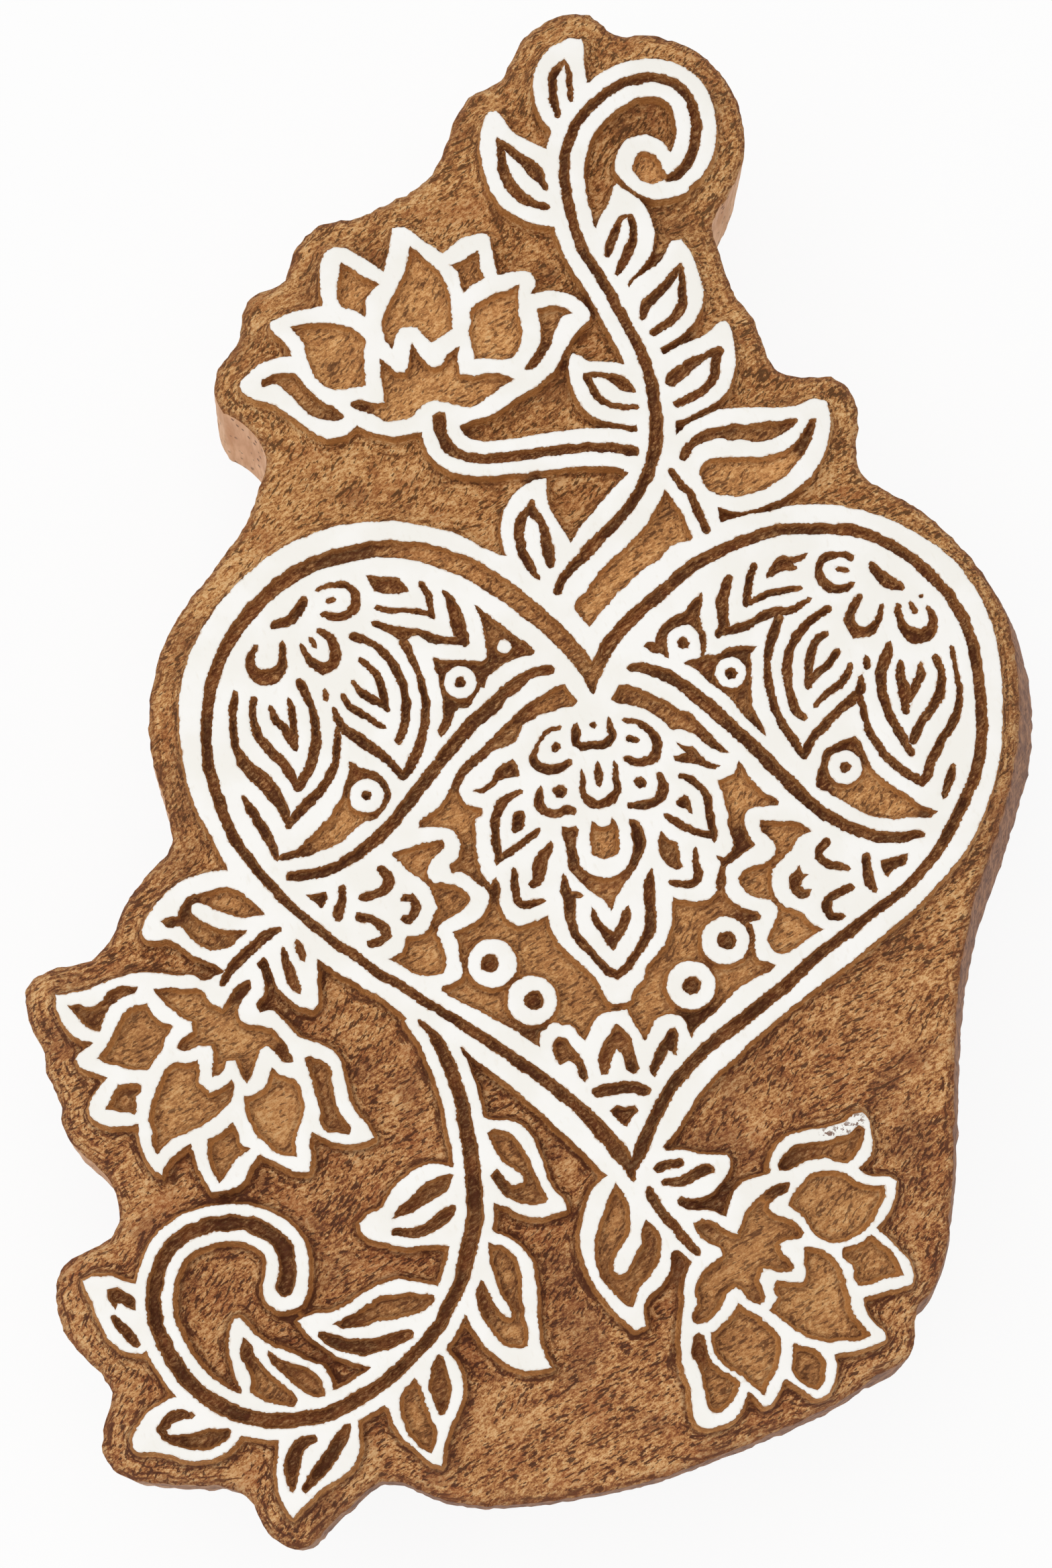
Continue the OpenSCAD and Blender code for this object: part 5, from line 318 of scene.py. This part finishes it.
def smoothed(ring, step, sharp, shortest=0.03):  # resampled on a curve through the points, corners kept
    ring = ring[np.linalg.norm(ring - np.roll(ring, 1, axis=0), axis=1) > shortest]
    ahead = np.roll(ring, -1, axis=0) - ring
    length = np.linalg.norm(ahead, axis=1)
    behind = np.roll(ahead, 1, axis=0)
    turn = np.abs(np.arctan2(behind[:, 0] * ahead[:, 1] - behind[:, 1] * ahead[:, 0],
                             (behind * ahead).sum(axis=1)))
    before = np.roll(length, 1)
    slope = (ahead + behind) / (length + before)[:, None]
    corner = turn > math.radians(sharp)
    made = []
    for i in range(len(ring)):
        j = (i + 1) % len(ring)
        leave = ahead[i] if corner[i] else slope[i] * length[i]
        reachIn = ahead[i] if corner[j] else slope[j] * length[i]
        count = max(1, round(length[i] / step))
        for t in np.arange(count) / count:
            made.append(ring[i] * (2 * t ** 3 - 3 * t ** 2 + 1) + leave * (t ** 3 - 2 * t ** 2 + t)
                        + ring[j] * (3 * t ** 2 - 2 * t ** 3) + reachIn * (t ** 3 - t ** 2))
    return np.array(made)


def outward(ring):  # unit vectors to the right of a ring's way round
    along = np.roll(ring, -1, axis=0) - np.roll(ring, 1, axis=0)
    along /= np.maximum(np.linalg.norm(along, axis=1), 1e-9)[:, None]
    return np.stack([along[:, 1], -along[:, 0]], axis=1)


def tree(points):
    made = KDTree(len(points))
    for i, (x, y) in enumerate(points.tolist()):
        made.insert((x, y, 0), i)
    made.balance()
    return made


def away(points, fromTree):
    return np.array([fromTree.find((x, y, 0))[2] for x, y in points.tolist()])


def piece(name, points, faces, mats, pick=None):
    mesh = bpy.data.meshes.new(name)
    mesh.from_pydata((points * mm).tolist(), [], faces)
    for mat in mats:
        mesh.materials.append(mat)
    mesh.polygons.foreach_set("use_smooth", np.ones(len(faces), dtype=bool))
    if pick is not None:
        mesh.polygons.foreach_set("material_index", np.array(pick, dtype=np.int32))
    mesh.update()
    made = bpy.data.objects.new(name, mesh)
    bpy.context.scene.collection.objects.link(made)
    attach(made, "root")
    return made


def keep(made, name, values):
    layer = made.data.attributes.new(name, "FLOAT", "POINT")
    layer.data.foreach_set("value", np.asarray(values, dtype=np.float32))


# The carving: the coat's edges and the board's outline, drawn again as a knife would leave them
carving = {"face": 58.0, "coat": 0.2, "ground": 53.0, "floor": 54.5, "back": 28.0,
           "step": 0.32, "sharp": 58, "outlineStep": 0.7, "outlineSharp": 50, "inset": 0.09, "smallest": 0.05,
           "edgeCut": (0.035, 0.05), "pocketCut": (0.055, 0.06),  # pockets were cut more roughly
           "longWaves": (1.3, 4.0, 14), "shortWaves": (0.55, 0.9, 12),
           "wallRings": (0.1, 0.26, 0.5, 0.9), "coatRings": (0.2, 0.55),
           "clear": 0.9, "grid": 0.56, "rows": 0.87, "jitter": 0.16, "ringGap": 0.3, "rimGap": 0.45,
           "roomSteps": 5, "nick": (0.03, 1.5, 3.5, 16),
           "swell": [(92, 0.1), (104, 0.4), (122, 0.4), (132, 0.1)]}  # by bearing
scuffs = [((41.5, -55.0, 58.0), 1.6), ((43.5, -54.4, 58.0), 1.8), ((45.4, -53.2, 58.0), 1.7)]
knife = [waves(*carving[k]) for k in ("longWaves", "longWaves", "shortWaves", "shortWaves")]


def handCut(points, long, short):
    shift = [long * hum(points, knife[i]) + short * hum(points, knife[i + 2]) for i in (0, 1)]
    return points + np.stack(shift, axis=1)


coatLoops = [r for r in flatLoops(nodes["white_coat"], carving["face"]) if abs(area(r)) > carving["smallest"]]
boardLoops = flatLoops(nodes["carved_board"], carving["back"])
outline = max(boardLoops, key=lambda r: abs(area(r)))
if area(outline) < 0:
    outline = outline[::-1]
coatLoops = [smoothed(r, carving["step"], carving["sharp"]) for r in coatLoops]
coatLoops = [handCut(r - outward(r) * carving["inset"], *carving["pocketCut" if area(r) < 0 else "edgeCut"])
             for r in coatLoops]
outline = handCut(smoothed(outline, carving["outlineStep"], carving["outlineSharp"]), *carving["edgeCut"])
bearing = np.degrees(np.arctan2(outline[:, 1], outline[:, 0]))  # from the middle of the board
swell = np.interp(bearing, *np.array(carving["swell"]).T) + ripples(outline, *carving["nick"])
outline += outward(outline) * swell[:, None]
print("stage: edges read,", len(coatLoops), "coat loops,", len(outline), "outline points")

edgePoints = np.concatenate(coatLoops)
quarters = (0, 0.25, 0.5, 0.75)
denser = np.concatenate([r + (np.roll(r, -1, axis=0) - r) * t for r in coatLoops for t in quarters])
coatTree, outTree = tree(denser), tree(outline)
sides = np.concatenate([outward(r) for r in coatLoops])
extra = []
for far in carving["wallRings"]:
    ring = edgePoints + sides * far
    extra.append(ring[away(ring, coatTree) > far * carving["clear"]])
for far in carving["coatRings"]:
    ring = edgePoints - sides * far
    extra.append(ring[away(ring, coatTree) > far * carving["clear"]])
low, high = outline.min(axis=0), outline.max(axis=0)
gap = carving["grid"]
across, down = (np.arange(low[i], high[i], step) for i, step in ((0, gap), (1, gap * carving["rows"])))
across, down = np.meshgrid(across, down)
across[1::2] += gap / 2
grid = np.stack([across.ravel(), down.ravel()], axis=1)
grid += dice.uniform(-carving["jitter"], carving["jitter"], grid.shape)
extra.append(grid[away(grid, coatTree) > carving["wallRings"][-1] + carving["ringGap"]])
extra = np.concatenate(extra)
extra = extra[away(extra, outTree) > carving["rimGap"]]

points = np.concatenate([outline] + coatLoops + [extra])
edges, first = [], 0
for ring in [outline] + coatLoops:
    n = len(ring)
    edges += [(first + i, first + (i + 1) % n) for i in range(n)]
    first += n
print("stage: points set,", len(points))

spots, links, tris, fromPoints, fromEdges, _ = delaunay_2d_cdt(
    [Vector(p) for p in points.tolist()], edges, [], 0, weld)
spots = np.array([tuple(s) for s in spots])
newIndex = {}
for i, olds in enumerate(fromPoints):
    for old in olds:
        newIndex[old] = i
border = {}
for (a, b), olds in zip(links, fromEdges):
    if olds:
        border[(min(a, b), max(a, b))] = olds
beside = {}
for i, t in enumerate(tris):
    for a, b in ((t[0], t[1]), (t[1], t[2]), (t[2], t[0])):
        beside.setdefault((min(a, b), max(a, b)), []).append(i)

# Every triangle takes the kind of its region: 0 outside, 1 coat, 2 ground, 3 closed pocket
kinds = [-1] * len(tris)
visited = 9  # until the whole region is found
shell = next(k for k, v in beside.items() if len(v) == 1)
seeds = [(beside[shell][0], False, False)]
while seeds:
    seed, inBoard, inCoat = seeds.pop()
    if kinds[seed] >= 0:
        continue
    members, waiting, atOutline = [], [seed], False
    kinds[seed] = visited
    while waiting:
        here = waiting.pop()
        members.append(here)
        t = tris[here]
        for a, b in ((t[0], t[1]), (t[1], t[2]), (t[2], t[0])):
            key = (min(a, b), max(a, b))
            for other in beside[key]:
                if other == here:
                    continue
                if key in border:
                    outer = sum(e < len(outline) for e in border[key])
                    inner = len(border[key]) - outer
                    atOutline = atOutline or outer > 0
                    seeds.append((other, inBoard != (outer % 2 == 1), inCoat != (inner % 2 == 1)))
                elif kinds[other] < 0:
                    kinds[other] = visited
                    waiting.append(other)
    kind = 0 if not inBoard else 1 if inCoat else 2 if atOutline else 3
    for here in members:
        kinds[here] = kind
print("stage: regions,", [kinds.count(k) for k in range(4)])

carved = [i for i, k in enumerate(kinds) if k > 1]
coated = [i for i, k in enumerate(kinds) if k == 1]
inCoat = np.zeros(len(spots), dtype=bool)
inCoat[np.array([tris[i] for i in coated]).ravel()] = True
inPocket = np.zeros(len(spots))
inPocket[np.array([tris[i] for i in carved if kinds[i] == 3]).ravel()] = 1.0
cutTris = np.array([tris[i] for i in carved])
reach = away(spots, coatTree)
rim = away(spots, outTree)
room = reach.copy()  # how far the walls stand apart round each point
for _ in range(carving["roomSteps"]):
    widest = room[cutTris].max(axis=1)
    for corner in range(3):
        np.maximum.at(room, cutTris[:, corner], widest)

# Heights: steep hand-cut walls, a chiselled floor and a worn outer edge
relief = {"wallWidth": ((-100, 20), (0.9, 0.55)), "wallUneven": (0.22, 5, 14, 8), "curve": 2.4,
          "steepPocket": 1.8, "steepGround": 2.4, "narrowSteep": (0.9, 2.6), "scoop": (0.3, 2.0),
          "grain": (0.82, 0.57, 2.6), "strokes": (0.15, 3.0, 6.5, 12), "nibbles": (0.07, 1.2, 2.2, 12),
          "dips": (0.12, 8, 20, 8), "fuzz": 0.05, "calm": 0.7, "wornDrop": 0.7, "wornWidth": 1.6}
under = carving["face"] - carving["coat"]
width = np.interp(spots[:, 1], *relief["wallWidth"])  # walls are wider low in the picture
width *= 1 + ripples(spots, *relief["wallUneven"])
deep = np.where(inPocket > 0, under - carving["floor"], under - carving["ground"])
least, gain = relief["narrowSteep"]
steep = np.where(inPocket > 0, relief["steepPocket"], relief["steepGround"])
steep = np.minimum(steep, least + gain * room)  # a narrow cut is a shallow one
fall = steep * (1 - (1 - np.minimum(1, reach / width)) ** relief["curve"])
after, slow = relief["scoop"]
fall += (deep - steep) * (1 - np.exp(-np.maximum(0, reach - after) / slow))  # the rest is scooped out slowly
cosine, sine, squeeze = relief["grain"]
along = spots[:, 0] * cosine + spots[:, 1] * sine
aside = spots[:, 1] * cosine - spots[:, 0] * sine
slant = np.stack([along, aside * squeeze], axis=1)
chisel = ripples(slant, *relief["strokes"])
chisel += ripples(spots, *relief["nibbles"])
chisel += ripples(spots, *relief["dips"])
chisel += dice.uniform(-relief["fuzz"], relief["fuzz"], len(spots))
height = under - fall + chisel * (1 - np.exp(-reach / relief["calm"]))
height -= relief["wornDrop"] * np.maximum(0, 1 - rim / relief["wornWidth"]) ** 2 * (~inCoat)
height[inCoat] = under

# The wall under the ground leans out to the back, by an amount for each bearing
wall = {"levels": 12, "ease": 0.9, "ripple": 0.035, "rippleWaves": (2.0, 7.0, 10), "rippleTall": 0.6,
        "rippleRise": 3, "rounding": 0.5, "roundFrom": 0.93, "backWeather": 0.3,
        "calmWays": 12, "calmLean": 10, "backGrid": 7.0, "backGap": 2.0,
        "lean": [(-180, 0.4), (-122, 0.4), (-100, 0.1), (-85, 0.4), (-70, 0.9), (-57, 1.6), (-50, 3.1),
                 (-41, 3.9), (-17, 4.0), (-6, 4.2), (0, 4.8), (6, 6.0), (12, 6.0), (18, 5.8), (24, 5.4),
                 (30, 4.4), (36, 2.4), (42, 0.6), (60, 0.2), (75, 0.1), (130, 0.5), (180, 0.4)],
        "weather": [(-180, 0.1), (-125, 0.3), (-95, 0.8), (-60, 1.0), (36, 1.0), (48, 0.1), (180, 0.1)]}
outSpots = np.array([newIndex[i] for i in range(len(outline))])
ways = outward(outline)
for _ in range(wall["calmWays"]):
    ways = (np.roll(ways, 1, axis=0) + ways + np.roll(ways, -1, axis=0)) / 3
ways /= np.linalg.norm(ways, axis=1)[:, None]
flare = np.interp(bearing, *np.array(wall["lean"]).T)
reachOut = wall["calmLean"]  # each lean is a mean of its neighbours on both sides
ease = np.ones(2 * reachOut + 1) / (2 * reachOut + 1)
flare = np.convolve(np.concatenate([flare[-reachOut:], flare, flare[:reachOut]]), ease, "valid")
top = height[outSpots]
boardPoints = [np.column_stack([spots, height])]
boardFaces = [tuple(tris[i]) for i in carved + coated]
pick = [0] * len(boardFaces)
ringBefore = outSpots
count, n = len(spots), len(outline)
run = np.cumsum(np.full(n, carving["outlineStep"]))  # millimetres along the outline
rough = waves(*wall["rippleWaves"])
for level in range(1, wall["levels"] + 1):
    t = level / wall["levels"]
    z = top + (carving["back"] - top) * t
    ripple = wall["ripple"] * hum(np.column_stack([run, z * wall["rippleTall"]]), rough)
    ripple *= min(1, t * wall["rippleRise"])
    last = max(0, t - wall["roundFrom"]) / (1 - wall["roundFrom"])  # the back edge is rounded off
    last *= wall["rounding"]
    ring = outline + ways * (flare * t ** wall["ease"] + ripple - last)[:, None]
    boardPoints.append(np.column_stack([ring, z]))
    ringNow = count + np.arange(n)
    count += n
    for i in range(n):
        j = (i + 1) % n
        boardFaces.append((int(ringBefore[i]), int(ringNow[i]), int(ringNow[j]), int(ringBefore[j])))
    pick += [1] * n
    ringBefore = ringNow
across, down = (np.arange(low[i], high[i], wall["backGrid"]) for i in (0, 1))
backGrid = np.stack(np.meshgrid(across, down), -1).reshape(-1, 2)
backGrid = backGrid[away(backGrid, tree(ring)) > wall["backGap"]]
backPoints = np.concatenate([ring, backGrid])
backSpots, _, backTris, backFrom, _, _ = delaunay_2d_cdt(
    [Vector(p) for p in backPoints.tolist()], [(i, (i + 1) % n) for i in range(n)], [], 1, weld)
backIndex = [int(ringBefore[olds[0]]) if olds and olds[0] < n else -1 for olds in backFrom]
inner = [i for i, b in enumerate(backIndex) if b < 0]
for i in inner:
    backIndex[i] = count
    count += 1
boardPoints.append(np.array([(backSpots[i][0], backSpots[i][1], carving["back"]) for i in inner]))
boardFaces += [tuple(backIndex[i] for i in reversed(t)) for t in backTris]
pick += [1] * len(backTris)
boardPoints = np.concatenate(boardPoints)
carvedLook, sawnLook = carvedWood(), sawnWood()
board = piece("carvedBoard", boardPoints, boardFaces, [carvedLook, sawnLook], pick)
spare = len(boardPoints) - len(spots)
farReach, farRim = 6.0, 8.0  # the finishes need no longer distances
for name, values in (("reach", reach), ("room", room)):
    keep(board, name, np.concatenate([np.minimum(values, farReach), np.full(spare, farReach)]))
keep(board, "pocket", np.concatenate([inPocket, np.zeros(spare)]))
keep(board, "rim", np.concatenate([np.minimum(rim, farRim), np.zeros(spare)]))
weather = np.full(len(boardPoints), wall["backWeather"])
sideways = np.degrees(np.arctan2(boardPoints[:, 1], boardPoints[:, 0]))
onWall = np.concatenate([outSpots, np.arange(len(spots), len(spots) + wall["levels"] * n)])
weather[onWall] = np.interp(sideways[onWall], *np.array(wall["weather"]).T)
keep(board, "weather", weather)
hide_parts("carved_board")
print("stage: board,", len(boardPoints), "points")

# The coat: a thin closed film on the raised faces, a little lower at its edges
film = {"sag": 0.09, "sagWidth": 0.35, "sink": 0.05, "uneven": 0.018, "unevenWaves": (4, 12, 10),
        "farInset": 5}
used = np.unique(np.array([tris[i] for i in coated]).ravel())
position = {int(s): i for i, s in enumerate(used)}
inset = reach[used]
filmTop = carving["face"] - film["sag"] * np.maximum(0, 1 - inset / film["sagWidth"]) ** 2
filmTop -= film["uneven"] * (1 + hum(spots[used], waves(*film["unevenWaves"])))
half = len(used)
filmPoints = np.concatenate([np.column_stack([spots[used], filmTop]),
                             np.column_stack([spots[used], np.full(half, under - film["sink"])])])
filmFaces = []
for i in coated:
    a, b, c = (position[v] for v in tris[i])
    filmFaces += [(a, b, c), (c + half, b + half, a + half)]
    for p, q in ((tris[i][0], tris[i][1]), (tris[i][1], tris[i][2]), (tris[i][2], tris[i][0])):
        if (min(p, q), max(p, q)) in border:
            filmFaces.append((position[q], position[p], position[p] + half, position[q] + half))
coat = piece("whiteCoat", filmPoints, filmFaces, [whitePaint()])
keep(coat, "inset", np.concatenate([np.minimum(inset, film["farInset"]), np.zeros(half)]))
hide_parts("white_coat")
print("stage: coat,", len(filmPoints), "points")

# The grip: a bar with round ends, worn round at its bottom edge, open where the plugs sit
gripBox = [[c / mm for c in corner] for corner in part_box("back_grip")]
plugBoxes = [[[c / mm for c in corner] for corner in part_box(n)] for n in ("plug_top", "plug_bottom")]
grip = {"round": 5.0, "around": 40, "straight": 24, "shoulder": 0.6, "rows": 8, "roundRows": 9,
        "roundFrom": 0.15, "worn": 0.14, "wornWaves": (9, 30, 8), "wornTall": 0.7,
        "slack": 0.12, "hole": 7.0, "holeSides": 48}
radius = (gripBox[1][0] - gripBox[0][0]) / 2
middle = np.array([(gripBox[0][i] + gripBox[1][i]) / 2 for i in (0, 1)])
reachY = (gripBox[1][1] - gripBox[0][1]) / 2 - radius
turns = np.linspace(0, math.pi, grip["around"])
slide = np.linspace(reachY, -reachY, grip["straight"] + 2)[1:-1]
plan = [(math.cos(a), math.sin(a), reachY) for a in turns] + [(-1.0, 0.0, y) for y in slide]
plan += [(-math.cos(a), -math.sin(a), -reachY) for a in turns] + [(1.0, 0.0, -y) for y in slide]
plan = np.array(plan)
gripTop = gripBox[1][2]
levels = [(gripTop, 0.0)]  # each ring's height and how far in it lies
levels += [(z, 0.0) for z in np.linspace(gripTop - grip["shoulder"], grip["round"], grip["rows"])]
levels += [(grip["round"] * (1 - math.sin(a)), grip["round"] * (1 - math.cos(a)))
           for a in np.linspace(grip["roundFrom"], math.pi / 2, grip["roundRows"])]
worn = waves(*grip["wornWaves"])
gripPoints, gripFaces = [], []
around = len(plan)
for i, (z, inward) in enumerate(levels):
    size = radius - inward
    flat = middle + np.column_stack([plan[:, 0] * size, plan[:, 1] * size + plan[:, 2]])
    flat -= plan[:, :2] * (grip["worn"] * (1 + hum(flat + z * grip["wornTall"], worn)))[:, None]
    gripPoints.append(np.column_stack([flat, np.full(around, z)]))
    if i:
        a, b = (i - 1) * around, i * around
        gripFaces += [(a + k, b + k, b + (k + 1) % around, a + (k + 1) % around) for k in range(around)]
gripPoints = np.concatenate(gripPoints)
gripFaces.append(tuple(range(around)))
corners = grip["holeSides"]
circle = np.linspace(0, 2 * math.pi, corners, endpoint=False)
holes = []
for box in plugBoxes:
    centre = np.array([(box[0][i] + box[1][i]) / 2 for i in (0, 1)])
    size = (box[1][0] - box[0][0]) / 2 + grip["slack"]
    holes.append(centre + size * np.column_stack([np.cos(circle), np.sin(circle)]))
lowest = gripPoints[-around:, :2]
flat = np.concatenate([lowest] + holes)
rings, first = [], 0
for ring in [lowest] + holes:
    rings.append([first + i for i in range(len(ring))])
    first += len(ring)
edges = [(r[i], r[(i + 1) % len(r)]) for r in rings for i in range(len(r))]
_, _, soleTris, soleFrom, _, _ = delaunay_2d_cdt([Vector(p) for p in flat.tolist()], edges, [], 1, weld)
holeStart = len(gripPoints)
lastRing = holeStart - around
deep = [np.column_stack([h, np.full(len(h), z)]) for z in (0.0, grip["hole"]) for h in holes]
gripPoints = np.concatenate([gripPoints] + deep)
soleIndex = [lastRing + olds[0] for olds in soleFrom]
for t in soleTris:
    ids = [soleFrom[v][0] for v in t]
    if all(around <= i < around + corners for i in ids) or all(i >= around + corners for i in ids):
        continue  # the two holes stay open
    gripFaces.append(tuple(soleIndex[v] for v in reversed(t)))
for h in range(2):
    a, b = holeStart + h * corners, holeStart + (h + 2) * corners
    gripFaces += [(a + k, a + (k + 1) % corners, b + (k + 1) % corners, b + k) for k in range(corners)]
    gripFaces.append(tuple(b + k for k in range(corners)))
gripLook = plainWood("gripWood", "7d5232", "ab7a4f", (0.5, 0.05, 0.5))
handle = piece("backGrip", gripPoints, gripFaces, [gripLook])
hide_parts("back_grip")
print("stage: grip,", len(gripPoints), "points")

# The fastenings keep their own shapes
brassLook, turnedLook = brass(), plainWood("dowelWood", "a77d50", "c79a68", (0.6, 0.6, 0.08))
fastenings = {"screw_top": brassLook, "screw_bottom": brassLook, "dowel_top": turnedLook,
              "dowel_bottom": turnedLook, "plug_top": turnedLook, "plug_bottom": turnedLook}
for name, look in fastenings.items():
    mesh = nodes[name].data
    mesh.materials.clear()
    mesh.materials.append(look)
print("stage: fastenings")

# The stage: a white floor that keeps a faint shadow, one large soft lamp and an even sky
stage = {"floor": 2.0, "paper": 0.9, "glow": 0.88, "sky": 0.6,
         "lampSize": 0.9, "lampEnergy": 5.8, "lampAt": (-0.2, -0.04, 1.13), "lampAim": (0, 0, 0.05),
         "lens": 88.14, "sensor": 36.0, "eye": (-12.73, -110.5, 587.63), "target": (-0.36, -5.9, 58.0)}


def seenRays(start):  # what the camera sees, directly or in metal and glass
    kinds = ("Is Camera Ray", "Is Glossy Ray", "Is Transmission Ray")
    rays = [start.node("ShaderNodeLightPath", {}, {}, kind) for kind in kinds]
    return start.sum("MAXIMUM", start.sum("MAXIMUM", rays[0], rays[1]), rays[2])


floorMesh = bpy.data.meshes.new("floor")
far = stage["floor"]
floorMesh.from_pydata([(-far, -far, 0), (far, -far, 0), (far, far, 0), (-far, far, 0)], [], [(0, 1, 2, 3)])
floor = bpy.data.objects.new("floor", floorMesh)
bpy.context.scene.collection.objects.link(floor)
floorLook, start, _ = material("floor")
seen = seenRays(start)
paper = start.node("ShaderNodeBsdfDiffuse", {}, {"Color": (stage["paper"],) * 3 + (1,)})
glow = start.node("ShaderNodeEmission", {}, {"Color": (1, 1, 1, 1), "Strength": 1.0})
both = start.node("ShaderNodeMixShader", {}, {0: seen * stage["glow"], 1: paper, 2: glow})
start.node("ShaderNodeOutputMaterial", {}, {"Surface": both})
floorMesh.materials.append(floorLook)

world = bpy.data.worlds.new("sky")
bpy.context.scene.world = world
world.use_nodes = True
world.node_tree.nodes.clear()
start = Wire(world.node_tree)
seen = seenRays(start)
strength = stage["sky"] + seen * (1 - stage["sky"])
sky = start.node("ShaderNodeBackground", {}, {"Color": (1, 1, 1, 1), "Strength": strength})
start.node("ShaderNodeOutputWorld", {}, {"Surface": sky})

lamp = bpy.data.lights.new("softbox", "AREA")
lamp.shape, lamp.size, lamp.energy = "SQUARE", stage["lampSize"], stage["lampEnergy"]
softbox = bpy.data.objects.new("softbox", lamp)
softbox.location = stage["lampAt"]
softbox.rotation_euler = (Vector(stage["lampAim"]) - softbox.location).to_track_quat("-Z", "Y").to_euler()
bpy.context.scene.collection.objects.link(softbox)

lens = bpy.data.cameras.new("camera")
lens.lens, lens.sensor_width, lens.sensor_fit = stage["lens"], stage["sensor"], "AUTO"
camera = bpy.data.objects.new("camera", lens)
eye, target = Vector(stage["eye"]) * mm, Vector(stage["target"]) * mm
look = (target - eye).normalized()
right = look.cross(Vector((0, 1, 0))).normalized()
up = right.cross(look)
camera.matrix_world = Matrix(((right.x, up.x, -look.x, eye.x), (right.y, up.y, -look.y, eye.y),
                              (right.z, up.z, -look.z, eye.z), (0, 0, 0, 1)))
bpy.context.scene.collection.objects.link(camera)
bpy.context.scene.camera = camera
bpy.context.scene.view_settings.view_transform = "Standard"
print("stage: camera and lamps")
